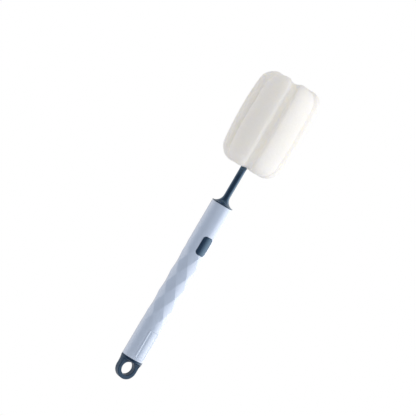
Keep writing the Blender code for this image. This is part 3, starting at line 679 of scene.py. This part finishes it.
place_of = {vert: cell_of(vert) for vert in bm.verts}
diamond_edges = 0
for face in list(bm.faces):
    spots = {place_of[vert]: vert for vert in face.verts}
    downs = sorted({j for i, j in spots})
    acrosses = sorted({i for i, j in spots})
    if acrosses == [0, columns - 1]:
        acrosses = [columns - 1, 0]
    (left, right), (top, low) = acrosses, downs
    if (left + top + 1) % (2 * CELLS) == 0:
        ends = spots[right, top], spots[left, low]
    elif (left - top) % (2 * CELLS) == 0:
        ends = spots[left, top], spots[right, low]
    else:
        continue
    bmesh.utils.face_split(face, *ends)
    for edge in ends[0].link_edges:
        if ends[1] in edge.verts:
            edge.smooth = False
            diamond_edges += 1
for vert, (i, j) in place_of.items():
    vert.co = facet_point(i / CELLS, j / CELLS)
bmesh.update_edit_mesh(shell.data)
print("facetted zone:", len(bm.faces), "faces,", diamond_edges, "stretches of diamond edge")

# %% [markdown]
# The rest of the tube grows out of the zone's open ends. The lower ring is extruded down to the foot.
# The upper ring is extruded to the handle's top, in to the bore, and down the bore with its step.
# Bridge Edge Loops then closes the foot, and the two outer rims are bevelled.

# %% The plain ends and the bore
UPPER_RING_RISE = 12 * MM  # above the facets
LOWER_RING_SHARE = 0.4  # of the way up from the foot to the facets
TOP_ROUNDING = 0.3 * MM
FOOT_ROUNDING = 0.6 * MM
RIM_DEPTH = 0.5 * MM  # a rim's edges lie at least this far outside the bore


def at_height(z):
    """A test for the level edges at a height."""
    return lambda middle, along: abs(middle.z - z) < TOUCH and abs(along.z) < 0.1


def extrude_on(rise, factor=1.0):
    """Extrudes the selected ring along the axis and scales the new one about it."""
    bpy.ops.mesh.extrude_region_move(TRANSFORM_OT_translate={"value": (0, 0, rise)})
    if factor != 1.0:
        bpy.ops.transform.resize(value=(factor, factor, 1), center_override=(0, 0, 0))


top_z, foot_z = tube_high.z, HANDLE_FOOT_Z + SEAM / 2
upper_ring = zone_top + UPPER_RING_RISE
lower_ring = foot_z + LOWER_RING_SHARE * (zone_foot - foot_z)
for rings in ((zone_foot, lower_ring, foot_z), (zone_top, upper_ring, top_z)):
    for z, new_z in zip(rings, rings[1:]):
        pick_parts(shell, "edges", at_height(z))
        extrude_on(new_z - z, handle_radius(new_z) / handle_radius(z))
pick_parts(shell, "edges", at_height(top_z))
extrude_on(0, BORE_R / handle_radius(top_z))
extrude_on(WALL_STEP_Z - top_z)
extrude_on(0, LOWER_BORE_R / BORE_R)
extrude_on(foot_z - WALL_STEP_Z)
pick_parts(shell, "edges", at_height(foot_z))
bpy.ops.mesh.bridge_edge_loops()
bpy.ops.mesh.select_all(action="SELECT")
bpy.ops.mesh.normals_make_consistent(inside=False)
bpy.ops.object.mode_set(mode="OBJECT")
for rim_z, rounding in ((top_z, TOP_ROUNDING), (foot_z, FOOT_ROUNDING)):
    level = at_height(rim_z)
    round_rims(
        shell,
        lambda middle, along: level(middle, along) and middle.xy.length > BORE_R + RIM_DEPTH,
        rounding,
    )

# %% [markdown]
# The button's window is cut with a block whose corners are rounded. The window is a little larger than
# the button all round, which gives the dark line that the photograph shows.

# %% The window
BUTTON_LENGTH = 15.8 * MM
BUTTON_WIDTH = 8.7 * MM
BUTTON_CORNER = 2.5 * MM
BUTTON_BELOW_TOP = 35.3 * MM
WINDOW_GAP = 0.15 * MM
WINDOW_IN_Y = -2 * MM  # where the cutter ends, inside the bore
button_z = HANDLE_TOP_Z - BUTTON_BELOW_TOP
half_x = BUTTON_WIDTH / 2 + WINDOW_GAP
half_z = BUTTON_LENGTH / 2 + WINDOW_GAP
window = block(
    "window",
    (-half_x, -HANDLE_TOP_R - 2 * PAST, button_z - half_z),
    (half_x, WINDOW_IN_Y, button_z + half_z),
    corner=BUTTON_CORNER + WINDOW_GAP,
    steps=8,
)
cut(shell, window)
settle(shell, "handle", HANDLE_FINISH, smooth=40)
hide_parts("handle_tube")

# %% [markdown]
# ## The bare plate
# Low on the handle, under the button and a little to its right, lies a thin bare plate with round
# corners, a raised rib round its edge and a raised middle. It starts as a flat grid. Its outline is
# rounded by moving the grid's corners onto arcs, its rib and middle are raised by a formula on the
# distance from the edge, and then the grid is wrapped round the handle.

# %% The plate, from a grid
PLATE_FOOT_Z = 19.3 * MM
PLATE_TOP_Z = 45.6 * MM
PLATE_WIDTH = 10.4 * MM
PLATE_CORNER = 2.0 * MM
RIB_WIDTH = 1.6 * MM
RIB_RISE = 0.34 * MM
RIB_ROUND = 0.8  # 1 makes the rib's section a sine, and less makes it fuller
PAD_RISE = 0.16 * MM
PAD_EDGE = 2.4 * MM  # from the outline in to where the middle pad begins
PAD_SLOPE = 0.7 * MM
PLATE_LIFT = 0.02 * MM  # of its skin over the handle's, so they don't coincide
PLATE_SINK = 0.25 * MM
PLATE_ASIDE = 0.7 * MM  # from the button's middle line to the right


def round_corners(x, z, half_x, half_z, corner):
    """Moves a point of a flat rectangle so that the rectangle's corners become arcs."""
    over_x = (abs(x) - (half_x - corner)) / corner
    over_z = (abs(z) - (half_z - corner)) / corner
    if over_x <= 0 or over_z <= 0:
        return x, z
    new_x = half_x - corner + corner * over_x * math.sqrt(1 - over_z**2 / 2)
    new_z = half_z - corner + corner * over_z * math.sqrt(1 - over_x**2 / 2)
    return math.copysign(new_x, x), math.copysign(new_z, z)


def edge_distance(x, z, half_x, half_z, corner):
    """How far a point lies inside a rectangle with round corners."""
    over_x = abs(x) - (half_x - corner)
    over_z = abs(z) - (half_z - corner)
    outside = math.hypot(max(over_x, 0), max(over_z, 0))
    return corner - outside - min(max(over_x, over_z), 0)


def smooth_step(value):
    """Rises from 0 to 1 with soft ends."""
    value = max(0.0, min(1.0, value))
    return value * value * (3 - 2 * value)


def plate_rise(inside):
    """Height of the plate's skin over the handle, from the distance in from its outline."""
    over_rib = math.pi * max(0.0, min(1.0, inside / RIB_WIDTH))
    pad = PAD_RISE * smooth_step((inside - PAD_EDGE) / PAD_SLOPE)
    return PLATE_LIFT + RIB_RISE * max(0.0, math.sin(over_rib)) ** RIB_ROUND + pad


plate_half_x, plate_half_z = PLATE_WIDTH / 2, (PLATE_TOP_Z - PLATE_FOOT_Z) / 2
plate_mid_z = (PLATE_TOP_Z + PLATE_FOOT_Z) / 2
bpy.ops.object.select_all(action="DESELECT")
bpy.ops.mesh.primitive_grid_add(x_subdivisions=64, y_subdivisions=200, size=1)
plate = bpy.context.object
plate.name = "label_place"
for vert in plate.data.vertices:
    x, z = 2 * vert.co.x * plate_half_x, 2 * vert.co.y * plate_half_z
    x, z = round_corners(x, z, plate_half_x, plate_half_z, PLATE_CORNER)
    inside = edge_distance(x, z, plate_half_x, plate_half_z, PLATE_CORNER)
    z += plate_mid_z
    skin = handle_radius(z)
    vert.co = round_point(skin + plate_rise(inside), (x + PLATE_ASIDE) / skin, z)
pick(plate)
bpy.ops.object.mode_set(mode="EDIT")
bpy.ops.mesh.select_all(action="SELECT")
bpy.ops.mesh.normals_make_consistent(inside=False)
bpy.ops.object.mode_set(mode="OBJECT")
apply_modifier(plate, "SOLIDIFY", thickness=PLATE_SINK, offset=-1.0)
plate_back = min(vert.co.xy.length for vert in plate.data.vertices)
print("the plate's back lies", round((HANDLE_TOP_R - plate_back) / MM, 2), "mm under the skin")
settle(plate, "handle", HANDLE_FINISH, smooth=50)

# %% [markdown]
# ## The release button
# The button fills the window and carries on the handle's curve. A grid is rounded at its corners as
# the plate was, bent onto the handle's radius, extruded inwards and rounded along its rim. Behind it
# sit the two tabs that hold it in the window, the foot that pushes the latch, and the spring's seat.

# %% The button's plate
BUTTON_WALL = 1.7 * MM
BUTTON_RIM = 0.4 * MM
RIM_ANGLE = math.radians(50)  # edges that are sharper than this belong to a rim
bpy.ops.object.select_all(action="DESELECT")
bpy.ops.mesh.primitive_grid_add(x_subdivisions=16, y_subdivisions=28, size=1)
button = bpy.context.object
button.name = "push_button"
for vert in button.data.vertices:
    x, z = vert.co.x * BUTTON_WIDTH, vert.co.y * BUTTON_LENGTH
    x, z = round_corners(x, z, BUTTON_WIDTH / 2, BUTTON_LENGTH / 2, BUTTON_CORNER)
    vert.co = (x, -math.sqrt(HANDLE_TOP_R**2 - x**2), button_z + z)
pick(button)
bpy.ops.object.mode_set(mode="EDIT")
bpy.ops.mesh.select_all(action="SELECT")
bpy.ops.mesh.extrude_region_move(TRANSFORM_OT_translate={"value": (0, BUTTON_WALL, 0)})
bpy.ops.mesh.select_all(action="SELECT")
bpy.ops.mesh.normals_make_consistent(inside=False)
bpy.ops.object.mode_set(mode="OBJECT")
bm = bmesh.new()
bm.from_mesh(button.data)
rim = []
for edge in bm.edges:
    middle = (edge.verts[0].co + edge.verts[1].co) / 2
    on_skin = abs(middle.xy.length - HANDLE_TOP_R) < BUTTON_RIM / 4
    if on_skin and len(edge.link_faces) == 2 and edge.calc_face_angle() > RIM_ANGLE:
        rim.append(edge)
bmesh.ops.bevel(bm, geom=rim, offset=BUTTON_RIM, segments=4, profile=0.5, affect="EDGES")
bm.to_mesh(button.data)
bm.free()
print("button rim:", len(rim), "edges rounded")

# %% [markdown]
# Behind the plate two webs carry the tabs that lie under the tube's wall and hold the button in. The
# foot pushes the latch aside, and a boss with a pin keeps the coil spring in its place. The button is
# one moulding, so each part is joined to the plate with a Boolean.

# %% Tabs, foot and spring seat
TAB_HALF = 2.4 * MM
TAB_OUT_Y = -6.7 * MM
TAB_IN_Y = -5.8 * MM
WEB_FROM_END = 1.8 * MM  # from the plate's end in to the web's far side
WEB_INSET = 0.4 * MM  # and to its near side
FOOT_ABOVE_MIDDLE = 2.7 * MM
FOOT_SIZE = 2.4 * MM
SEAT_BELOW_MIDDLE = 4.0 * MM
BOSS_R, BOSS_END_Y = 2.2 * MM, -6.6 * MM
PIN_R, PIN_END_Y = 0.9 * MM, -5.2 * MM
BLOCK_ROUNDING = 0.15 * MM
DRUM_ROUNDING = 0.2 * MM
root_y = -HANDLE_TOP_R + BUTTON_WALL / 2
half_length = BUTTON_LENGTH / 2


def join_block(low, high):
    """Joins a block with softened inner edges to the button."""
    part = block("button_part", low, high)
    deepest = max(low[1], high[1])
    round_rims(part, lambda middle, along: middle.y > deepest - TOUCH, BLOCK_ROUNDING)
    cut(button, part, "UNION")


for end in (1, -1):
    web = sorted(button_z + end * (half_length - inset) for inset in (WEB_FROM_END, WEB_INSET))
    join_block((-TAB_HALF, root_y, web[0]), (TAB_HALF, TAB_IN_Y, web[1]))
    tip_z = button_high.z if end > 0 else button_low.z
    lip = sorted((button_z + end * (half_length - WEB_FROM_END), tip_z))
    join_block((-TAB_HALF, TAB_OUT_Y, lip[0]), (TAB_HALF, TAB_IN_Y, lip[1]))
foot_low = button_z + FOOT_ABOVE_MIDDLE
join_block((-FOOT_SIZE / 2, root_y, foot_low), (FOOT_SIZE / 2, button_high.y, foot_low + FOOT_SIZE))
for radius, end_y in ((BOSS_R, BOSS_END_Y), (PIN_R, PIN_END_Y)):
    bpy.ops.object.select_all(action="DESELECT")
    bpy.ops.mesh.primitive_cylinder_add(
        vertices=48,
        radius=radius,
        depth=end_y - root_y,
        location=(0, (end_y + root_y) / 2, button_z - SEAT_BELOW_MIDDLE),
        rotation=(math.radians(90), 0, 0),
    )
    drum = bpy.context.object
    bpy.ops.object.transform_apply(location=True, rotation=True, scale=True)
    round_rims(drum, lambda middle, along: middle.y > end_y - TOUCH, DRUM_ROUNDING)
    cut(button, drum, "UNION")
settle(button, "button", NAVY_FINISH, smooth=45)
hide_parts("release_button")

# %% [markdown]
# ## The stem
# The stem is one moulding: a core with barbs inside the foam, the bare rod, a flare like a trumpet's
# bell that closes the handle, and a shank that plugs into it. It is turned from one outline.

# %% The stem's outline
ROD_R = 2.65 * MM
FLARE_HEIGHT = 8.0 * MM
FLARE_RIM = 0.8 * MM
BELL_STEPS = 24
CORE_R = 2.2 * MM
BARB_R = 4.0 * MM
BARB_HEIGHT = 3.2 * MM
BARB_PITCH = 9.5 * MM
BARBS = 5
SHANK_R = 3.1 * MM
SHANK_CHAMFER = 0.4 * MM
FLARE_ROUNDING = 0.18 * MM
KEY_WIDTH = 1.2 * MM
KEY_RISE = 1.0 * MM
core_top = stem_high.z
flare_z = HANDLE_TOP_Z + GAP / 2
outline = [(0, core_top)] + arc((0, core_top - CORE_R), CORE_R, 80, 0, 6)
for n in range(BARBS):
    tip = core_top - 2 * CORE_R - n * BARB_PITCH
    outline += [(CORE_R, tip), (BARB_R, tip - BARB_HEIGHT), (BARB_R, tip - BARB_HEIGHT - GAP)]
    outline += [(CORE_R, tip - BARB_HEIGHT - 2 * GAP)]
outline += [(CORE_R, foam_low.z + 3 * GAP + ROD_R), (ROD_R, foam_low.z + ROD_R)]
for t in (math.radians(90 * k / BELL_STEPS) for k in range(BELL_STEPS + 1)):
    bell_r = HANDLE_TOP_R - (HANDLE_TOP_R - ROD_R) * math.cos(t)
    bell_z = HANDLE_TOP_Z + FLARE_HEIGHT - (FLARE_HEIGHT - FLARE_RIM) * math.sin(t)
    outline.append((bell_r, bell_z))
outline += [(HANDLE_TOP_R, flare_z), (SHANK_R, flare_z), (SHANK_R, stem_low.z + SHANK_CHAMFER)]
outline += [(SHANK_R - SHANK_CHAMFER, stem_low.z), (0, stem_low.z)]
stem = lathe("stem", outline)
round_rims(
    stem,
    lambda middle, along: abs(along.z) < 0.1
    and middle.xy.length > HANDLE_TOP_R - 5 * TOUCH
    and abs(middle.z - HANDLE_TOP_Z) < FLARE_RIM * 1.1,
    FLARE_ROUNDING,
)

# %% [markdown]
# A rib on the shank's back keeps the head from turning, and a channel on its front takes the latch
# spring. The rib is joined to the shank and the channel is cut, each with a Boolean.

# %% The shank's rib and channel
KEY_ABOVE_LATCH = 2.1 * MM  # from the latch spring's foot up to the rib's
KEY_BELOW_FLARE = 6.0 * MM
KEY_ROUNDING = 0.2 * MM
CHANNEL_DEPTH = 2.2 * MM  # from the shank's surface in to the channel's floor
ROOT_HEIGHT = 0.5 * MM  # of the slot that holds the latch spring's root
key = block(
    "key",
    (-KEY_WIDTH / 2, SHANK_R - KEY_RISE, latch_low.z + KEY_ABOVE_LATCH),
    (KEY_WIDTH / 2, SHANK_R + KEY_RISE, flare_z - KEY_BELOW_FLARE),
)
round_rims(key, lambda middle, along: middle.y > SHANK_R, KEY_ROUNDING)
cut(stem, key, "UNION")
channel = block(
    "channel",
    (latch_low.x - GAP, -SHANK_R - PAST, stem_low.z - PAST),
    (latch_high.x + GAP, -SHANK_R + CHANNEL_DEPTH, latch_high.z + GAP),
)
cut(stem, channel)
root = block(
    "root_slot",
    (latch_low.x - GAP, -SHANK_R + CHANNEL_DEPTH - GAP, latch_high.z - ROOT_HEIGHT - GAP),
    (latch_high.x + GAP, latch_high.y + GAP, latch_high.z + GAP),
)
cut(stem, root)
settle(stem, "head", NAVY_FINISH, smooth=35)
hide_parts("brush_stem")

# %% [markdown]
# ## The tail cap
# The cap closes the handle and ends in a flat loop. Its round part is turned, two coves thin it down
# on the front and the back, and a flat loop is joined to its end. The joins of a moulding are softly
# filled, so the whole is remeshed at the end.

# %% The cap's turned part and coves
LOOP_R = 8.5 * MM
LOOP_HOLE_R = 5.65 * MM
LOOP_HOLE_Z = 9.1 * MM
LOOP_THICK = 5.5 * MM
LOOP_EDGE = 0.2 * MM
HOLE_EDGE = 0.12 * MM
COLLAR_HEIGHT = 2.1 * MM
COVE_R = 4.5 * MM
COLLAR_TOP_ROUND = 0.2 * MM
COLLAR_FOOT_ROUND = 0.25 * MM
SHOULDER = 0.45 * MM  # how far the cap's foot stands out past the loop at its top
PLUG_LENGTH = 13.0 * MM
PLUG_WALL = 1.6 * MM
BEAD_RISE = 0.5 * MM
BEAD_Z = tube_low.z + 9.0 * MM
BEAD_TOP_HALF, BEAD_FOOT_HALF = 0.5 * MM, 0.8 * MM
seam_z = HANDLE_FOOT_Z - SEAM / 2
collar_r = handle_radius(HANDLE_FOOT_Z)
plug_r = LOWER_BORE_R - GAP
cove_top = seam_z - COLLAR_HEIGHT
cove_foot = cove_top - COVE_R
cap = lathe(
    "loop_cap",
    [(0, seam_z + PLUG_WALL), (plug_r - PLUG_WALL, seam_z + PLUG_WALL)]
    + [(plug_r - PLUG_WALL, seam_z + PLUG_LENGTH), (plug_r - GAP, seam_z + PLUG_LENGTH)]
    + [(plug_r, seam_z + PLUG_LENGTH - GAP), (plug_r, BEAD_Z + BEAD_FOOT_HALF)]
    + [(plug_r + BEAD_RISE, BEAD_Z + BEAD_TOP_HALF), (plug_r + BEAD_RISE, BEAD_Z - BEAD_TOP_HALF)]
    + [(plug_r, BEAD_Z - BEAD_FOOT_HALF), (plug_r, seam_z)]
    + arc((collar_r - COLLAR_TOP_ROUND, seam_z - COLLAR_TOP_ROUND), COLLAR_TOP_ROUND, 90, 0, 3)
    + arc((collar_r - COLLAR_FOOT_ROUND, cove_top + COLLAR_FOOT_ROUND), COLLAR_FOOT_ROUND, 0, -90, 3)
    + [(LOOP_R + SHOULDER, cove_top - COVE_R / 3), (LOOP_R, cove_foot), (0, cove_foot)],
)
reach = collar_r + PAST
cove_y = LOOP_THICK / 2 - GAP
cove_curve = arc((cove_y + COVE_R, cove_foot), COVE_R, 180, 90, 16)
section = [(cove_y, 0), *cove_curve, (reach, cove_top), (reach, 0)]
for name, facing in (("front_cove", -1), ("back_cove", 1)):
    cut(cap, slab(name, [(-reach, facing * y, z) for y, z in section], (2 * reach, 0, 0)))
print("cap turned and coved:", len(cap.data.polygons), "faces")

# %% [markdown]
# The loop is a slab as well: a half circle below and a straight tongue above, which reaches up into
# the cap. Its rims are bevelled. The hole's cutter is turned with a small round mouth at each end, so
# the hole gets soft rims in the same cut.

# %% The loop and its hole
LOOP_ROOT = 0.3 * MM  # how far under the seam the tongue ends
RIMS_END = 0.5 * MM  # how far under the seam the rounded rims end
around = [(-LOOP_R, seam_z - LOOP_ROOT), *arc((0, LOOP_R), LOOP_R, 180, 360, 64)]
around.append((LOOP_R, seam_z - LOOP_ROOT))
loop = slab("loop", [(x, -LOOP_THICK / 2, z) for x, z in around], (0, LOOP_THICK, 0))
round_rims(
    loop,
    lambda middle, along: abs(abs(middle.y) - LOOP_THICK / 2) < TOUCH
    and abs(along.y) < 0.1
    and middle.z < seam_z - RIMS_END,
    LOOP_EDGE,
    segments=6,
)
cut(cap, loop, "UNION")
wide = LOOP_HOLE_R + HOLE_EDGE
mouth = arc((wide, LOOP_THICK / 2 - HOLE_EDGE), HOLE_EDGE, 90, 180, 6)
hole = lathe(
    "hole",
    [(0, reach), (wide, reach), *mouth, *[(r, -y) for r, y in reversed(mouth)]]
    + [(wide, -reach), (0, -reach)],
)
hole.rotation_euler.x = math.radians(90)
hole.location.z = LOOP_HOLE_Z
cut(cap, hole)
print("cap with its loop:", len(cap.data.polygons), "faces")

# %% [markdown]
# A Voxel Remesh turns the joined pieces into one even skin, and a few rounds of smoothing fill the
# corners where they meet. The voxels are small enough to keep the hole round.

# %% Soften the moulding
CAP_VOXEL = 0.2 * MM
CAP_SMOOTHING = 7
apply_modifier(cap, "REMESH", mode="VOXEL", voxel_size=CAP_VOXEL)
apply_modifier(cap, "SMOOTH", factor=0.5, iterations=CAP_SMOOTHING)
settle(cap, "handle", CAP_FINISH, smooth=60)
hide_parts("tail_cap")

# %% [markdown]
# ## The foam head
# The head is six soft lobes round the stem's core, with grooves between them. Each lobe starts as a
# cube with many divisions. A formula rounds its long edges and its two ends, and bends it to its
# place. Real lobes are never quite alike, so each has its own fullness, and its own taper at its foot
# and at its head. The grooves differ too: a narrow one is also less deep.

# %% One lobe
FOAM_R = 26.8 * MM
FOAM_FOOT_R = 24.4 * MM
FOAM_HEAD_R = 24.2 * MM
FOAM_WIDEST = 0.56  # share of its height at which it is widest
BARREL_POWER = 2.6  # 2 would make the barrel's sides a parabola
END_TALL = 10.0 * MM
END_DEEP = 9.5 * MM
END_CROWN = 0.6 * MM  # how far the ends fall towards the rim
HEAD_DIMPLE = 3.6 * MM
FOOT_DIMPLE = 1.2 * MM
DIMPLE_R = 15.0 * MM
LOBES = 6
GROOVE_TURN = math.radians(-28.8)
GROOVE_HALF = 4.3 * MM
GROOVE_FLOOR_R = 21.5 * MM
GROOVE_ROUND = 0.28  # 1 makes a groove a sharp V, and less gives it a rounder floor
GROOVE_SHALLOW = 4.0 * MM  # how much less deep a groove of no width would be
GROOVE_FLARE = 0.9 * MM  # how much wider a groove's half gets over the ends
GROOVE_END_R = 5.0 * MM  # where a groove's floor comes in to on the end faces
EDGE_ROUND = 1.2 * MM
SIDE_CROWN = 1.2 * MM  # how far a lobe's ends fall towards its sides
FOAM_SHIFT = 0.7 * MM  # soft foam sits a little off its core
LOBE_CUTS = 39
LOBE_CORE_R = 0.5 * MM
LOBE_OVERLAP = 0.02  # radians by which two lobes overlap under their groove's floor
STRAIGHT = 0.6  # share of the cube's side that stays straight
foam_length = foam_high.z - foam_low.z
foam_middle = (foam_high.z + foam_low.z) / 2
half_sector = math.pi / LOBES
lobe_half = FOAM_R * half_sector - GROOVE_HALF


def foam_drop(share):
    """How much less than its widest the barrel's radius is, at a share of its height."""
    if share < FOAM_WIDEST:
        return (FOAM_R - FOAM_FOOT_R) * (1 - share / FOAM_WIDEST) ** BARREL_POWER
    return (FOAM_R - FOAM_HEAD_R) * ((share - FOAM_WIDEST) / (1 - FOAM_WIDEST)) ** BARREL_POWER


def bow(value):
    """Splits a cube coordinate into a straight part and a quarter turn: returns how far along the
    straight part it is, and the angle it has turned."""
    if abs(value) <= STRAIGHT:
        return abs(value) / STRAIGHT, 0.0
    return 1.0, (abs(value) - STRAIGHT) / (1 - STRAIGHT) * math.pi / 2


def lobe_point(across, outward, along, middle_turn, fullness, tapers, widths):
    """Where a point of the cube's skin goes. The three coordinates run from -1 to 1."""
    straight, turned = bow(along)
    height = straight * (foam_length / 2 - END_TALL) + END_TALL * math.sin(turned)
    height = math.copysign(height, along)
    deep = END_DEEP * (1 - math.cos(turned))
    flare = GROOVE_FLARE * (1 - math.cos(turned))
    drop_here = foam_drop(height / foam_length + 0.5)
    width = widths[across > 0]
    floor_r = GROOVE_FLOOR_R - drop_here
    floor_r -= (floor_r - GROOVE_END_R) * (1 - math.cos(turned))
    floor_r += GROOVE_SHALLOW * (1 - width)
    straight, turned = bow(across)
    sideways = straight * (lobe_half - EDGE_ROUND) + EDGE_ROUND * math.sin(turned)
    sideways = math.copysign(sideways, across) / lobe_half
    outer = FOAM_R * fullness - drop_here * tapers[along > 0]
    outer -= deep + EDGE_ROUND * (1 - math.cos(turned))
    radius = LOBE_CORE_R + (outer - LOBE_CORE_R) * (outward + 1) / 2
    open_share = max(0.0, (radius - floor_r) / (FOAM_R - floor_r))
    half_gap = (GROOVE_HALF + flare) * width * open_share**GROOVE_ROUND / radius
    if not open_share:
        half_gap = -LOBE_OVERLAP
    dimple = HEAD_DIMPLE if along > 0 else FOOT_DIMPLE
    drop = dimple * max(0.0, 1 - radius / DIMPLE_R) ** 2 + END_CROWN * (radius / FOAM_R) ** 2
    drop += SIDE_CROWN * abs(sideways) ** 3
    height *= 1 - drop / (foam_length / 2)
    turn = middle_turn + sideways * (half_sector - half_gap)
    return round_point(radius, turn, foam_middle + height)


def make_lobe(number, fullness, tapers, widths):
    """One lobe, made from a cube. Tapers are for its foot and head, widths for its two grooves."""
    bpy.ops.object.select_all(action="DESELECT")
    bpy.ops.mesh.primitive_cube_add(size=2)
    lobe = bpy.context.object
    lobe.name = f"lobe_{number}"
    bpy.ops.object.mode_set(mode="EDIT")
    bpy.ops.mesh.subdivide(number_cuts=LOBE_CUTS)
    bpy.ops.object.mode_set(mode="OBJECT")
    middle_turn = GROOVE_TURN + half_sector * (2 * number + 1)
    for vert in lobe.data.vertices:
        vert.co = lobe_point(*vert.co, middle_turn, fullness, tapers, widths)
    return lobe


lobe_fullness = (1.0, 1.03, 0.995, 0.985, 1.0, 1.0)
lobe_tapers = ((1.1, 0.9), (1.9, 0.5), (0.8, 0.8), (1.1, 1.1), (1.7, 1.3), (1.0, 1.0))
groove_widths = (0.88, 0.5, 0.9, 1.0, 0.9, 0.8)
lobes = []
for k in range(LOBES):
    widths = groove_widths[k], groove_widths[(k + 1) % LOBES]
    lobes.append(make_lobe(k, lobe_fullness[k], lobe_tapers[k], widths))
print("six lobes of", len(lobes[0].data.polygons), "faces")

# %% [markdown]
# The lobes and a plain core are joined and remeshed into one foam, and smoothing rounds the grooves'
# floors. The photograph shows the head a little to the right of the rod, as soft foam sits loosely on
# its core, so the whole foam is moved there.

# %% Join the lobes and soften the foam
FOAM_VOXEL = 0.7 * MM
FOAM_SMOOTHING = 5
bpy.ops.object.select_all(action="DESELECT")
bpy.ops.mesh.primitive_cylinder_add(
    vertices=48,
    radius=GROOVE_END_R,
    depth=foam_length - HEAD_DIMPLE - FOOT_DIMPLE,
    location=(0, 0, foam_middle + (FOOT_DIMPLE - HEAD_DIMPLE) / 2),
)
foam = bpy.context.object
foam.name = "foam_head"
bpy.ops.object.transform_apply(location=True, rotation=True, scale=True)
for lobe in lobes:
    lobe.select_set(True)
bpy.ops.object.join()
apply_modifier(foam, "REMESH", mode="VOXEL", voxel_size=FOAM_VOXEL)
apply_modifier(foam, "SMOOTH", factor=0.5, iterations=FOAM_SMOOTHING)
pick(foam)
bpy.ops.object.transform_apply(location=True, rotation=True, scale=True)
bpy.ops.transform.translate(value=side * FOAM_SHIFT)
bpy.ops.object.transform_apply(location=True, rotation=True, scale=True)
print("foam:", len(foam.data.polygons), "faces")

# %% [markdown]
# Cut foam isn't quite even. Two Displace modifiers with cloud textures give it slow swells and a fine
# uneven skin. Then it is bored for the stem, wide round the barbs and narrow round the rod.

# %% Roughen it a little and bore it for the stem
SWELL_SIZE, SWELL_DEPTH = 22 * MM, 0.5 * MM
SKIN_SIZE, SKIN_DEPTH = 2.2 * MM, 0.16 * MM
NECK_TOP, NECK_FOOT = 8 * MM, 5 * MM  # above the foam's foot, where the bore narrows to the rod
ROD_FIT = 0.05 * MM
for name, size, depth in (
    ("foam_swell", SWELL_SIZE, SWELL_DEPTH),
    ("foam_skin", SKIN_SIZE, SKIN_DEPTH),
):
    cloud = bpy.data.textures.new(name, "CLOUDS")
    cloud.noise_scale = size
    apply_modifier(
        foam, "DISPLACE", texture=cloud, texture_coords="LOCAL", strength=depth, mid_level=0.5
    )
bore = lathe(
    "core_bore",
    [(0, core_top + GAP), (BARB_R + GAP, core_top - CORE_R), (BARB_R + GAP, foam_low.z + NECK_TOP)]
    + [(ROD_R + ROD_FIT, foam_low.z + NECK_FOOT), (ROD_R + ROD_FIT, foam_low.z - 5 * PAST)]
    + [(0, foam_low.z - 5 * PAST)],
    steps=48,
)
cut(foam, bore)
settle(foam, "head", FOAM_FINISH, smooth=80)
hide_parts("sponge_head")

# %% [markdown]
# ## The inner pieces
# The socket inside the handle and the two springs keep the shapes that the CAD gives them. They only
# need their finishes: pale moulded plastic for the socket and bright steel for the springs.

# %% Finishes of the inner pieces
for node, finish in (
    ("handle_socket", INNER_FINISH),
    ("latch_spring", STRIP_STEEL),
    ("button_spring", WIRE_STEEL),
):
    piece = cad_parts[node]
    for spot in piece.material_slots:
        spot.material = finish
    print(node, "has", len(piece.material_slots), "finish")
